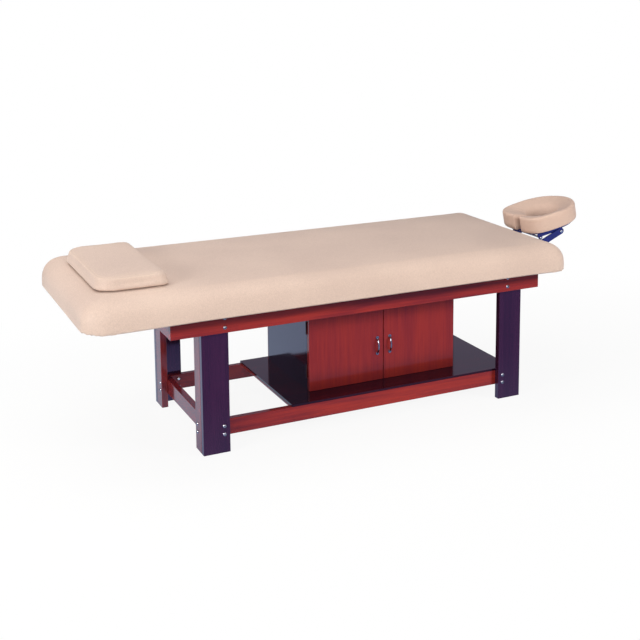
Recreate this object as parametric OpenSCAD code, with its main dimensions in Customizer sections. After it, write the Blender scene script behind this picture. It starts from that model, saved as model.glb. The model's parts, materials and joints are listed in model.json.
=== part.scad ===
// Spa treatment bed: a thick upholstered pad on a timber base with a storage cabinet,
// a loose pillow and a face cradle that slides, lifts down and tilts.
// X runs along the bed towards the face cradle, Y across it with the doors at -Y, Z up.
// The origin is on the floor, under the middle of the whole bed.

/* [Pad] */
// Length of the upholstered pad
bed_len = 1900; // [1800:10:2000]
// Width of the upholstered pad
bed_w = 775; // [720:5:820]
// Height of the pad's top above the floor
bed_h = 630; // [600:5:660]
// Thickness of the pad with its board
pad_t = 112; // [100:2:124]
// Corner radius of the pad seen from above
pad_corner_r = 78; // [60:1:110]
// Height of the pad's rounded top edge
pad_top_r = 70; // [40:1:76]
// How far the pad's rounded top edge reaches in
pad_top_in = 90; // [50:1:110]
// Radius of the pad's bottom edge
pad_bottom_r = 8; // [6:1:11]
// How much the pad's top rises between its rounded edges
pad_crown = 3; // [1:0.5:6]
// How far the pad's sides draw in between the corners
pad_draw = 3; // [0:0.5:6]
// Thickness of the plywood board inside the pad
base_board_t = 12; // [9:1:18]
// Width of the cover folded under the board's edge
wrap_w = 12; // [8:1:20]

/* [Timber base] */
// Pad beyond the legs at the pillow end
foot_pad_over = 413; // [380:1:430]
// Pad beyond the legs at the cradle end
head_pad_over = 167; // [150:1:190]
// Pad beyond the legs along each side
side_pad_over = 92.5; // [70:0.5:105]
// Apron beyond the legs at the pillow end
foot_apron_over = 116; // [90:1:140]
// Apron beyond the legs at the cradle end
head_apron_over = 63; // [45:1:90]
// Thickness of the timber boards
board_t = 25; // [22:1:28]
// Width of a leg's face board
leg_face_w = 99; // [85:1:110]
// Depth of a leg seen from the end
leg_side_w = 86; // [80:1:100]
// Height of the apron boards
apron_h = 73; // [65:1:85]
// Height of the lower rails
rail_h = 58; // [50:1:70]
// Height of the lower rails' underside above the floor
rail_z = 54.5; // [40:0.5:80]
// Height of the bearers under the pad
bearer_h = 55; // [40:1:60]
// Rounding of the timber edges
edge_r = 2; // [1:0.5:3]

/* [Lower shelf] */
// Open space between the lower rail at the pillow's end and the shelf
shelf_foot_gap = 297; // [200:1:340]
// Thickness of the shelf panel
shelf_t = 8; // [6:1:12]
// Height of the battens under the cabinet
batten_h = 40; // [30:1:48]
// Height of the strip under the shelf's free edge
edge_strip_h = 9; // [6:1:14]

/* [Cabinet] */
// Distance from the shelf's free end to the cabinet
cab_foot_gap = 110; // [90:1:150]
// Distance from the back rail's face in to the cabinet's back
cab_back_gap = 31; // [4:1:40]
// Gap between the cabinet's top and the aprons' lower edge
cab_apron_gap = 4.5; // [2:0.5:20]
// Distance from the cabinet to the shelf's cradle end
cab_head_gap = 212; // [190:1:230]
// Distance from the front rail's face back to the doors' face
door_setback = 94; // [85:1:115]
// Thickness of the cabinet's panels
panel_t = 16; // [15:0.5:18]
// Thickness of the cabinet's back
back_t = 4; // [3:0.5:6]
// Thickness of the doors
door_t = 18; // [16:0.5:20]
// Gap between the two doors
door_gap = 3; // [2:0.5:4]
// Gap below the doors
door_foot_gap = 1; // [1:0.5:5]
// Distance from the doors' top down from the cabinet's top
door_head_gap = 2; // [1:0.5:4]
// Height of the inner shelf above the cabinet's floor
inner_shelf_z = 150; // [120:1:180]
// Setback of the inner shelf from the cabinet's front
inner_shelf_setback = 30; // [20:1:60]

/* [Handles] */
// Distance between a handle's feet
handle_pitch = 62; // [50:1:70]
// Reach of the bow from the door
handle_reach = 18; // [16:1:28]
// Diameter of the bow
handle_d = 6; // [5:0.5:8]
// Diameter of the round feet
handle_foot_d = 12; // [10:0.5:14]
// Thickness of the round feet
handle_foot_t = 3; // [2:0.5:4]
// Distance of a handle from the gap between the doors
handle_inset = 25.5; // [20:0.5:40]
// Height of the handles' middle above the cabinet's foot
handle_z = 138; // [120:1:180]

/* [Bolts] */
// Diameter of the bolts
bolt_d = 8; // [6:0.5:8]
// Diameter of the domed heads and nuts
head_d = 14.5; // [13:0.5:16]
// Height of the domed heads
head_h = 4.5; // [3:0.5:6]
// Width across the socket in a head
socket_d = 6; // [4:0.5:7]
// Depth of the socket in a head
socket_deep = 2.5; // [1.5:0.5:3]
// Distance between the two bolts of a leg and lower rail
rail_bolt_pitch = 30; // [24:1:34]
// Distance between the two bolts of a leg and apron
apron_bolt_pitch = 34; // [28:1:40]
// Distance of the bolts from a leg board's inner edge
bolt_inset = 20; // [16:1:24]

/* [Pillow] */
// Length of the pillow along the bed
pillow_len = 250; // [220:1:280]
// Width of the pillow across the bed
pillow_w = 532; // [480:1:560]
// Thickness of the pillow
pillow_t = 45; // [40:1:60]
// Corner radius of the pillow
pillow_corner_r = 48; // [34:1:60]
// Height of the pillow's rounded top edge
pillow_top_r = 18; // [12:1:22]
// How far the pillow's rounded top edge reaches in
pillow_top_in = 13; // [10:1:18]
// How far the pillow's sides lean in up to that edge
pillow_lean = 9; // [0:1:12]
// Distance from the pad's end to the pillow
pillow_end_gap = 65; // [55:1:120]
// Distance from the pad's middle to the pillow's middle, towards the front
pillow_shift = 20; // [0:1:40]

/* [Face cradle] */
// Distance from the pad's end to the lower pivot
yoke_clear = 28; // [22:1:32]
// Rise from the posts to the lower pivot
yoke_rise = 57; // [50:1:60]
// Half of the cushion's length
cushion_half_len = 146; // [140:1:150]
// Half of the cushion's width
cushion_half_w = 138; // [130:1:145]
// Thickness of the cushion
cushion_t = 72; // [65:1:80]
// Drop of the cushion's top from its rim to its opening
cushion_dish = 28; // [8:1:30]
// Width of the cushion's ring
cushion_ring_w = 84; // [76:1:88]
// Width of the slit in the cushion's ring
cushion_slit = 16; // [12:1:40]
// Tilt of the cushion, its outer end up
cushion_tilt = 11; // [8:0.5:13]
// Distance from the cushion's outer end to the upper pivot
pivot_from_end = 132.5; // [124:0.5:138]
// Drop of the upper pivot below the cushion
pivot_drop = 28; // [26:0.5:34]
// Distance between the two lugs of a side bracket
lug_pitch = 101; // [90:1:110]
// Length of the arms between their pivots
arm_len = 151; // [146:1:156]
// Slope of the arms
arm_slope = 24; // [22:1:27]
// Width of the arms
arm_w = 26; // [20:0.5:28]
// Thickness of the arms
arm_t = 6; // [5:0.5:8]
// Half of the distance between the arms' inner faces
arm_half_gap = 96; // [88:1:104]
// Thickness of the cradle's side plates
web_t = 4; // [3:0.5:5]
// Thickness of the cushion's platform
platform_t = 6; // [4:0.5:8]
// Diameter of the cradle's two posts
post_d = 20; // [18:1:22]
// Wall of the posts
post_wall = 2; // [1.5:0.5:3]
// Distance between the two posts
post_pitch = 140; // [120:1:150]
// Length of the posts
post_len = 285; // [270:1:290]
// Width of the square crossbar
crossbar_w = 25; // [22:1:28]
// Diameter of the pivot bolts
pivot_d = 8; // [6:0.5:8]
// Length of a locking lever
lever_len = 62; // [50:1:70]

/* [Hidden] */

// Smoothness of true round shapes
$fn = 48;
// Overrun of every cut
over = 1;
// Small gap between a moving piece and its neighbour
run_gap = 0.3;
// Radial clearance of a running pin or post
pin_gap = 0.05;
// Radial clearance of a bolt in its hole
bolt_gap = 0.15;

// Unit directions of the tilted platform
tilt_c = cos(cushion_tilt);
tilt_s = sin(cushion_tilt);
// Edges of the face cradle's cushion
cushion_bottom_r = 12;
cushion_top_r = 26;

// Places along the bed: the cushion's outer lower edge is its furthest point
arm_reach = arm_len * cos(arm_slope);
cushion_past_pivot = (pivot_from_end - cushion_bottom_r) * tilt_c
    - (pivot_drop + cushion_bottom_r) * tilt_s + cushion_bottom_r;
cradle_reach = yoke_clear + arm_reach + cushion_past_pivot;
total_len = bed_len + cradle_reach;
pad_x0 = -total_len / 2;
pad_x1 = pad_x0 + bed_len;
base_len = bed_len - foot_pad_over - head_pad_over;
base_x0 = pad_x0 + foot_pad_over;
base_x1 = base_x0 + base_len;
base_mid_x = (base_x0 + base_x1) / 2;
apron_x0 = base_x0 - foot_apron_over;
apron_x1 = base_x1 + head_apron_over;
// Places across the bed
leg_y = bed_w / 2 - side_pad_over;
rail_y = leg_y - board_t;
rail_in_y = rail_y - board_t;
apron_y = leg_y + board_t;
// Heights
apron_top = bed_h - pad_t;
apron_z = apron_top - apron_h;
rail_top = rail_z + rail_h;
shelf_top = rail_top + shelf_t;
glide_proud = 2;
glide_d = 18;
glide_stem_d = 4;
glide_stem_len = 14;
leg_h = apron_top - glide_proud;

// Timber colours
mahogany = [0.42, 0.10, 0.08];
mahogany_dark = [0.22, 0.07, 0.10];
panel_red = [0.48, 0.12, 0.08];
leather = [0.86, 0.70, 0.62];
navy = [0.09, 0.10, 0.25];
steel = [0.75, 0.76, 0.78];

// A board standing on the XY plane, from a corner, with its long edges eased
module eased_board(size_x, size_y, size_z, r = edge_r) {
    linear_extrude(size_z)
        translate([r, r])
        rounded_rect(size_x - 2 * r, size_y - 2 * r, r);
}

// A rectangle from its corner, grown all round by r with true arcs
module rounded_rect(size_x, size_y, r) {
    translate([-r, 0]) square([size_x + 2 * r, size_y]);
    translate([0, -r]) square([size_x, size_y + 2 * r]);
    for (x = [0, size_x], y = [0, size_y]) translate([x, y]) circle(r);
}

// A board that runs along X, with its long edges eased
module board_x(len, depth, height) {
    rotate([90, 0, 90]) eased_board(depth, height, len);
}

// A board that runs along Y, with its long edges eased
module board_y(len, width, height) {
    translate([0, len, 0]) rotate([90, 0, 0]) eased_board(width, height, len);
}

// A round bar along Y from y0 to y1
module bar_y(d, y0, y1) {
    translate([0, y1, 0]) rotate([90, 0, 0]) cylinder(d = d, h = y1 - y0);
}

// A round bar along X from x0 to x1
module bar_x(d, x0, x1) {
    translate([x0, 0, 0]) rotate([0, 90, 0]) cylinder(d = d, h = x1 - x0);
}

// Soft pads: rings of points from the underside up to the crown

// One corner fan of a rounded outline, inset by d, corner k of four
least_corner_r = 6;
corner_steps = 8;
function corner_arc(l, w, r, d, k) =
    let (
        sx = (k == 0 || k == 3) ? 1 : -1,
        sy = (k < 2) ? 1 : -1,
        left = max(r - d, least_corner_r),
        cx = sx * (l / 2 - d - left),
        cy = sy * (w / 2 - d - left)
    )
    [for (i = [0 : corner_steps])
        let (a = 90 * (k + i / corner_steps))
        [cx + left * cos(a), cy + left * sin(a)]];

// Extra points along the side after corner k, drawn in by a smooth bow
side_steps = 7;
function side_bow(a, b, bow) =
    let (
        run = b - a,
        out = [run[1], -run[0]] / norm(run)
    )
    [for (i = [1 : side_steps - 1])
        let (s = i / side_steps)
        a + run * s - out * bow * pow(sin(180 * s), 2)];

function pad_outline(l, w, r, d, bow) =
    let (arcs = [for (k = [0 : 3]) corner_arc(l, w, r, d, k)])
    [for (k = [0 : 3]) each concat(
        arcs[k],
        side_bow(arcs[k][corner_steps], arcs[(k + 1) % 4][0], bow))];

// Rings as [inset, height, share of the draw-in]
bottom_steps = 3;
arc_steps = 6;
function pad_rings(t, top_r, top_in, bottom_r, crown, lean) = concat(
    [for (i = [0 : bottom_steps])
        let (a = 90 * i / bottom_steps)
        [bottom_r * (1 - sin(a)), bottom_r * (1 - cos(a)), 0]],
    [[lean / 2, (t - crown - top_r + bottom_r) / 2, 1]],
    [for (i = [0 : arc_steps])
        let (a = 90 * i / arc_steps)
        [lean + top_in * (1 - cos(a)), t - crown - top_r * (1 - sin(a)), 1 - i / arc_steps]]
);

crown_shares = [0.94, 0.88, 0.8];
module pad_solid(l, w, t, r, top_r, top_in, bottom_r, crown, bow, lean) {
    rings = pad_rings(t, top_r, top_in, bottom_r, crown, lean);
    count = len(pad_outline(l, w, r, 0, 0));
    last = pad_outline(l, w, r, lean + top_in, 0);
    body_points = [for (g = rings) each
        [for (p = pad_outline(l, w, r, g[0], bow * g[2])) [p[0], p[1], g[1]]]];
    rise_points = [for (i = [0 : len(crown_shares) - 1]) each
        [for (p = last)
            [p[0] * crown_shares[i], p[1] * crown_shares[i],
                t - crown * pow(1 - (i + 1) / len(crown_shares), 2)]]];
    points = concat(body_points, rise_points);
    levels = len(rings) + len(crown_shares);
    ring_solid(points, count, levels);
}

// A closed skin over rings of equal count, each end closed by a fan round its middle
function ring_middle(points, first, count) =
    [for (k = [0 : 2]) ring_sum(points, first, count, k) / count];
function ring_sum(points, first, count, k, i = 0) =
    i == count ? 0 : points[first + i][k] + ring_sum(points, first, count, k, i + 1);

module ring_solid(ring_points, count, levels) {
    low = levels * count;
    high = low + 1;
    points = concat(ring_points, [
        ring_middle(ring_points, 0, count),
        ring_middle(ring_points, (levels - 1) * count, count)
    ]);
    sides = [for (j = [0 : levels - 2], i = [0 : count - 1])
        let (
            a = j * count + i,
            b = j * count + (i + 1) % count
        )
        each [[a, a + count, b], [b, a + count, b + count]]];
    bottom = [for (i = [0 : count - 1]) [low, i, (i + 1) % count]];
    top = [for (i = [0 : count - 1])
        let (first = (levels - 1) * count)
        [high, first + (i + 1) % count, first + i]];
    polyhedron(points = points, faces = concat(sides, bottom, top), convexity = 4);
}

module pad() {
    color(leather)
    translate([pad_x0 + bed_len / 2, 0, apron_top])
    difference() {
        pad_solid(bed_len, bed_w, pad_t, pad_corner_r, pad_top_r, pad_top_in,
            pad_bottom_r, pad_crown, pad_draw, 0);
        translate([0, 0, -over])
            pad_board_shape(run_gap, base_board_t + run_gap + over);
    }
}

// Outline of the pad's board, grown by a clearance
module pad_board_shape(grow, height) {
    in = wrap_w - grow;
    translate([-bed_len / 2 + pad_corner_r, -bed_w / 2 + pad_corner_r])
        linear_extrude(height)
        rounded_rect(bed_len - 2 * pad_corner_r, bed_w - 2 * pad_corner_r, pad_corner_r - in);
}

module pad_board() {
    color("burlywood")
    translate([pad_x0 + bed_len / 2, 0, apron_top])
        pad_board_shape(0, base_board_t);
}

// Steel angles that hold the pad's board down to the aprons
bracket_leg = 36;
bracket_w = 40;
bracket_t = 3;
bracket_end_gap = 10;
module pad_brackets() {
    end_reach = base_len / 2 - leg_face_w - board_t - bracket_end_gap - bracket_w / 2;
    color(steel)
    for (s = [-1, 0, 1], side = [-1, 1])
        translate([base_mid_x + s * end_reach - bracket_w / 2, 0, 0])
        mirror([0, side > 0 ? 1 : 0, 0])
        translate([0, -leg_y, apron_top]) {
            translate([0, 0, -bracket_t]) cube([bracket_w, bracket_leg, bracket_t]);
            translate([0, 0, -bracket_leg]) cube([bracket_w, bracket_t, bracket_leg]);
        }
}

// Heights of the bolts
rail_bolt_zs = [for (s = [-1, 1]) rail_z + rail_h / 2 + s * rail_bolt_pitch / 2];
apron_bolt_zs = [for (s = [-1, 1]) apron_z + apron_h / 2 + s * apron_bolt_pitch / 2];
bolt_hole_d = bolt_d + 2 * bolt_gap;
face_bolt_x = leg_face_w - bolt_inset;
side_bolt_y = leg_side_w - bolt_inset;

// Puts a leg modelled at the front left corner into corner (sx, sy)
module at_corner(sx, sy) {
    translate([base_mid_x, 0, 0])
    mirror([sx > 0 ? 1 : 0, 0, 0])
    mirror([0, sy > 0 ? 1 : 0, 0])
    translate([-base_len / 2, -leg_y, 0])
        children();
}

// Face board of a leg, its outer corner at the origin
module leg_face(sx, sy) {
    color(mahogany_dark)
    at_corner(sx, sy)
    difference() {
        translate([0, 0, glide_proud]) eased_board(leg_face_w, board_t, leg_h);
        for (z = concat(rail_bolt_zs, apron_bolt_zs))
            translate([face_bolt_x, 0, z]) bar_y(bolt_hole_d, -over, board_t + over);
        translate([leg_face_w / 2, board_t / 2, 0]) glide_hole();
    }
}

// Side board of a leg, behind the face board
module leg_side(sx, sy) {
    color(mahogany_dark)
    at_corner(sx, sy)
    difference() {
        translate([0, board_t, glide_proud]) eased_board(board_t, leg_side_w - board_t, leg_h);
        for (z = rail_bolt_zs)
            translate([0, side_bolt_y, z]) bar_x(bolt_hole_d, -over, board_t + over);
        translate([board_t / 2, (leg_side_w + board_t) / 2, 0]) glide_hole();
    }
}

module glide_hole() {
    cylinder(d = glide_stem_d + 2 * pin_gap, h = glide_proud + glide_stem_len);
}

// Round plastic glides under every leg board
module foot_glides() {
    color("dimgray")
    for (sx = [-1, 1], sy = [-1, 1])
        at_corner(sx, sy) {
            translate([leg_face_w / 2, board_t / 2, 0]) glide();
            translate([board_t / 2, (leg_side_w + board_t) / 2, 0]) glide();
        }
}

module glide() {
    cylinder(d = glide_d, h = glide_proud);
    cylinder(d = glide_stem_d, h = glide_proud + glide_stem_len - over);
}

// Long apron, side -1 in front and 1 behind
module apron_long(side) {
    color(mahogany)
    mirror([0, side > 0 ? 1 : 0, 0])
    difference() {
        translate([apron_x0, -apron_y, apron_z])
            board_x(apron_x1 - apron_x0, board_t, apron_h);
        for (sx = [-1, 1], z = apron_bolt_zs)
            translate([base_mid_x + sx * (base_len / 2 - face_bolt_x), 0, z])
            bar_y(bolt_hole_d, -apron_y - over, -leg_y + over);
    }
}

// Short apron between the long ones, at the pillow end
module apron_foot() {
    color(mahogany)
    translate([apron_x0, -leg_y, apron_z])
        board_y(2 * leg_y, board_t, apron_h);
}

// Short apron at the cradle end, bored for the two sleeves
module apron_head() {
    color(mahogany)
    difference() {
        translate([apron_x1 - board_t, -leg_y, apron_z])
            board_y(2 * leg_y, board_t, apron_h);
        sleeve_bores();
    }
}

// Bearers across the aprons, under the pad's board
bearer_mid_share = 0.33;
module pad_bearers() {
    bearer_xs = [
        base_x0 + leg_face_w,
        base_mid_x - bearer_mid_share * base_len / 2 - board_t / 2,
        base_mid_x + bearer_mid_share * base_len / 2 - board_t / 2,
        base_x1 - leg_face_w - board_t
    ];
    color("peru")
    difference() {
        for (x = bearer_xs)
            translate([x, -leg_y, apron_top - bearer_h])
            board_y(2 * leg_y, board_t, bearer_h);
        sleeve_bores();
    }
}

// Long lower rail inside the face boards
module rail_long(side) {
    color(mahogany)
    mirror([0, side > 0 ? 1 : 0, 0])
    difference() {
        translate([base_x0 + board_t, -rail_y, rail_z])
            board_x(base_len - 2 * board_t, board_t, rail_h);
        for (sx = [-1, 1], z = rail_bolt_zs)
            translate([base_mid_x + sx * (base_len / 2 - face_bolt_x), 0, z])
            bar_y(bolt_hole_d, -rail_y - over, -rail_in_y + over);
    }
}

// Short lower rail inside the side boards, side -1 at the pillow end
module rail_end(side) {
    color(mahogany)
    translate([base_mid_x, 0, 0])
    mirror([side > 0 ? 1 : 0, 0, 0])
    difference() {
        translate([-base_len / 2 + board_t, -rail_in_y, rail_z])
            board_y(2 * rail_in_y, board_t, rail_h);
        for (sy = [-1, 1], z = rail_bolt_zs)
            translate([-base_len / 2 + board_t, sy * (leg_y - side_bolt_y), z])
            bar_x(bolt_hole_d, -over, board_t + over);
    }
}

// Shelf panel lying on the lower rails, flush with their faces
shelf_x1 = base_x1 - board_t;
shelf_x0 = base_x0 + 2 * board_t + shelf_foot_gap;
module shelf_panel() {
    color(mahogany_dark)
    translate([shelf_x0, -rail_y, rail_top])
        cube([shelf_x1 - shelf_x0, 2 * rail_y, shelf_t]);
}

// Battens between the rails under the cabinet's sides, and a strip under the shelf's free edge
edge_strip_w = 20;
module shelf_battens() {
    color("peru") {
        for (x = [cab_x0, cab_x1 - board_t])
            translate([x, -rail_in_y, rail_top - batten_h])
            board_y(2 * rail_in_y, board_t, batten_h);
        translate([shelf_x0, -rail_in_y, rail_top - edge_strip_h])
            board_y(2 * rail_in_y, edge_strip_w, edge_strip_h);
    }
}

// A bolt along +Y, its head's seat at the origin
module bolt() {
    color("silver")
    rotate([90, 0, 0])
    difference() {
        union() {
            dome(head_d, head_h);
            translate([0, 0, -grip - head_h]) cylinder(d = bolt_d, h = grip + head_h);
        }
        translate([0, 0, head_h - socket_deep]) cylinder(d = socket_d, h = socket_deep + over, $fn = 6);
    }
}

// A low dome on the XY plane, revolved from an arc
dome_fn = 96;
module dome(d, h) {
    r = (d * d / 4 + h * h) / (2 * h);
    rotate_extrude()
    intersection() {
        translate([0, h - r]) circle(r, $fn = dome_fn);
        square([d / 2, h]);
    }
}

// A domed nut with a blind bore, its seat at the origin, opening to -Y
module dome_nut() {
    color("silver")
    rotate([-90, 0, 0])
    difference() {
        dome(head_d, 2 * head_h);
        translate([0, 0, -over]) cylinder(d = bolt_d + 2 * pin_gap, h = over + head_h + pin_gap);
    }
}

// Every bolt clamps two boards
grip = 2 * board_t;

// Puts children where the bolts enter the face boards and the aprons, moved inwards by depth
module at_face_bolts(depth) {
    for (sx = [-1, 1], sy = [-1, 1])
        at_corner(sx, sy) {
            for (z = rail_bolt_zs) translate([face_bolt_x, depth, z]) children();
            for (z = apron_bolt_zs) translate([face_bolt_x, depth - board_t, z]) children();
        }
}

// Puts children where the bolts enter the side boards, moved inwards by depth
module at_side_bolts(depth) {
    for (sx = [-1, 1], sy = [-1, 1])
        at_corner(sx, sy)
        for (z = rail_bolt_zs)
            translate([depth, side_bolt_y, z]) rotate([0, 0, -90]) children();
}

module bolts() {
    at_face_bolts(0) bolt();
    at_side_bolts(0) bolt();
}

module dome_nuts() {
    at_face_bolts(grip) dome_nut();
    at_side_bolts(grip) dome_nut();
}

// Cabinet
cab_x1 = shelf_x1 - cab_head_gap;
cab_x0 = shelf_x0 + cab_foot_gap;
cab_w = cab_x1 - cab_x0;
cab_mid_x = (cab_x0 + cab_x1) / 2;
door_y = -rail_y + door_setback;
hinge_gap = 2;
case_y0 = door_y + door_t + hinge_gap;
case_y1 = rail_y - cab_back_gap;
cab_h = apron_z - cab_apron_gap - shelf_top;
cab_top = shelf_top + cab_h;
case_depth = case_y1 - case_y0 - back_t;
pin_d = 5;
pin_in = 8;
pin_out = 9;
tab_t = 3;
inner_shelf_clear = 1;
inner_shelf_bottom = shelf_top + panel_t + inner_shelf_z;
pin_inset = 60;
pin_ys = [case_y0 + inner_shelf_setback + pin_inset, case_y1 - back_t - pin_inset];

// Side panel with two blind holes for the shelf pins, side -1 on the left
module cabinet_side(side) {
    color(panel_red)
    translate([cab_mid_x, 0, 0])
    mirror([side > 0 ? 1 : 0, 0, 0])
    difference() {
        translate([-cab_w / 2, case_y0, shelf_top]) cube([panel_t, case_depth, cab_h]);
        for (y = pin_ys)
            translate([-cab_w / 2 + panel_t, y, pin_z])
            bar_x(pin_d + 2 * pin_gap, -pin_in - pin_gap, over);
    }
}

module cabinet_flat(z) {
    color(panel_red)
    translate([cab_x0 + panel_t, case_y0, z])
        cube([cab_w - 2 * panel_t, case_depth, panel_t]);
}

module cabinet_back() {
    color(panel_red)
    translate([cab_x0, case_y1 - back_t, shelf_top]) cube([cab_w, back_t, cab_h]);
}

module inner_shelf() {
    color(panel_red)
    translate([cab_x0 + panel_t + inner_shelf_clear, case_y0 + inner_shelf_setback, inner_shelf_bottom])
        cube([
            cab_w - 2 * (panel_t + inner_shelf_clear),
            case_depth - inner_shelf_setback - inner_shelf_clear,
            panel_t
        ]);
}

// Shelf pins with a flat tab that carries the inner shelf
pin_z = inner_shelf_bottom - pin_d / 2;
module shelf_pins() {
    color(steel)
    for (side = [-1, 1], y = pin_ys)
        translate([cab_mid_x, 0, 0])
        mirror([side > 0 ? 1 : 0, 0, 0])
        translate([-cab_w / 2 + panel_t, y, pin_z]) {
            bar_x(pin_d, -pin_in, pin_out);
            translate([0, -pin_d, pin_d / 2 - tab_t]) cube([pin_out, 2 * pin_d, tab_t]);
        }
}

// Doors
door_w = (cab_w - door_gap) / 2;
door_z = shelf_top + door_foot_gap;
door_h = cab_h - door_foot_gap - door_head_gap;
handle_mid_z = shelf_top + handle_z;

// Puts a door piece modelled on the left into its place, side -1 left and 1 right
module door_side(side) {
    translate([cab_mid_x, 0, 0])
    mirror([side > 0 ? 1 : 0, 0, 0])
        children();
}

screw_hole_d = 4;
module door(side) {
    color(panel_red)
    door_side(side)
    difference() {
        translate([-cab_w / 2, door_y, door_z])
            board_z_eased(door_w, door_t, door_h);
        for (s = [-1, 1])
            translate([-door_gap / 2 - handle_inset, 0, handle_mid_z + s * handle_pitch / 2])
            bar_y(screw_hole_d + 2 * pin_gap, door_y - over, door_y + door_t + over);
    }
}

// A panel whose four upright edges are eased
module board_z_eased(size_x, size_y, size_z) {
    eased_board(size_x, size_y, size_z, edge_r / 2);
}

// Bow handle: a true arc between two round feet, with the screws that hold it
bow_sagitta = handle_reach - handle_d / 2;
bow_r = (pow(handle_pitch / 2, 2) + pow(bow_sagitta, 2)) / (2 * bow_sagitta);
bow_half_angle = asin(handle_pitch / 2 / bow_r);
screw_head_d = 8;
screw_head_h = 2;
module handle(side) {
    color("silver")
    door_side(side)
    translate([-door_gap / 2 - handle_inset, door_y, handle_mid_z]) {
        for (s = [-1, 1])
            translate([0, 0, s * handle_pitch / 2]) {
                bar_y(handle_foot_d, -handle_foot_t, 0);
                bar_y(screw_hole_d, -handle_foot_t, door_t);
                bar_y(screw_head_d, door_t, door_t + screw_head_h);
            }
        difference() {
            translate([0, -bow_sagitta + bow_r, 0])
                rotate([0, 90, 0])
                rotate([0, 0, -90 - bow_half_angle])
                rotate_extrude(angle = 2 * bow_half_angle)
                translate([bow_r, 0]) circle(d = handle_d);
            translate([-handle_d, 0, -handle_pitch]) cube([2 * handle_d, 2 * handle_reach, 2 * handle_pitch]);
        }
    }
}

// Butt hinges: three knuckles on a pin just outside the cabinet's front edge
leaf_t = 0.9;
leaf_w = 14;
hinge_h = 50;
knuckle_d = 4.8;
hinge_pin_d = 2.4;
hinge_ends = 50;
hinge_y = door_y + door_t + hinge_gap / 2;
hinge_x = -cab_w / 2 - knuckle_d / 2 - run_gap;
hinge_zs = [door_z + hinge_ends, door_z + door_h - hinge_ends - hinge_h];
knuckle_h = (hinge_h - 2 * run_gap) / 3;

module knuckle(z, height) {
    translate([hinge_x, hinge_y, z])
    difference() {
        cylinder(d = knuckle_d, h = height);
        translate([0, 0, -over]) cylinder(d = hinge_pin_d + 2 * pin_gap, h = height + 2 * over);
    }
}

// Fixed leaves, their two outer knuckles and the pins
module hinge_case_leaves() {
    color(steel)
    for (side = [-1, 1], z = hinge_zs)
        door_side(side) {
            for (k = [0, 2]) {
                knuckle(z + k * (knuckle_h + run_gap), knuckle_h);
                translate([hinge_x + hinge_pin_d / 2 + run_gap, hinge_y + hinge_gap / 2 - leaf_t,
                    z + k * (knuckle_h + run_gap)])
                    cube([leaf_w - hinge_x - cab_w / 2, leaf_t, knuckle_h]);
            }
            translate([-cab_w / 2, hinge_y + hinge_gap / 2 - leaf_t, z]) cube([leaf_w, leaf_t, hinge_h]);
            translate([hinge_x, hinge_y, z]) cylinder(d = hinge_pin_d, h = hinge_h);
        }
}

// Moving leaves and their middle knuckle
module hinge_door_leaves(side) {
    color(steel)
    for (z = hinge_zs)
        door_side(side) {
            knuckle(z + knuckle_h + run_gap, knuckle_h);
            translate([hinge_x + hinge_pin_d / 2 + run_gap, hinge_y - hinge_gap / 2,
                z + knuckle_h + run_gap])
                cube([leaf_w - hinge_x - cab_w / 2, leaf_t, knuckle_h]);
            translate([-cab_w / 2, hinge_y - hinge_gap / 2, z]) cube([leaf_w, leaf_t, hinge_h]);
        }
}

// Magnet catches under the cabinet's top, one for each door
catch_w = 40;
catch_deep = 16;
catch_h = 13;
catch_inset = 12;
strike_t = 1.5;
strike_w = 32;
strike_h = 12;
module magnet_catches() {
    color("white")
    for (side = [-1, 1])
        door_side(side)
        translate([-catch_inset - catch_w, case_y0 - hinge_gap + strike_t + run_gap,
            cab_top - panel_t - catch_h])
        cube([catch_w, catch_deep, catch_h]);
}

module strike(side) {
    color(steel)
    door_side(side)
    translate([-catch_inset - catch_w / 2 - strike_w / 2, door_y + door_t,
        cab_top - panel_t - catch_h + (catch_h - strike_h) / 2])
        cube([strike_w, strike_t, strike_h]);
}

// Loose pillow near the pad's end
pillow_bottom_r = 10;
pillow_crown = 4;
pillow_draw = 4;
module pillow() {
    color(leather)
    translate([pad_x0 + pillow_end_gap + pillow_len / 2, -pillow_shift, bed_h + run_gap])
        pad_solid(pillow_len, pillow_w, pillow_t, pillow_corner_r, pillow_top_r, pillow_top_in,
            pillow_bottom_r, pillow_crown, pillow_draw, pillow_lean);
}

// Face cradle

// Distance from the cushion's middle out to the upper pivot
pivot_along = cushion_half_len - pivot_from_end;
post_z = apron_z + apron_h / 2;
lower_x = pad_x1 + yoke_clear;
lower_z = post_z + yoke_rise;
upper_x = lower_x + arm_reach;
upper_z = lower_z + arm_len * sin(arm_slope);

// Moves what is modelled around the upper pivot, with the platform flat, into place
module on_platform() {
    translate([upper_x, 0, upper_z]) rotate([0, -cushion_tilt, 0]) children();
}

// Moves what is modelled around the lower pivot, with the arm level, into place
module on_arm() {
    translate([lower_x, 0, lower_z]) rotate([0, -arm_slope, 0]) children();
}

// Cushion: a rounded section swept round a horseshoe, blunter at its tips beside the slit
ring_path_a = cushion_half_len - cushion_ring_w / 2;
ring_path_b = cushion_half_w - cushion_ring_w / 2;
hole_half_len = cushion_half_len - cushion_ring_w;
hole_half_w = cushion_half_w - cushion_ring_w;
ellipse_power = 2;
tip_power = 3.75;
ring_steps = 44;
tip_r = 16;
tip_steps = 4;
tip_angle = tip_r / ring_path_b * 180 / PI;

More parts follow.
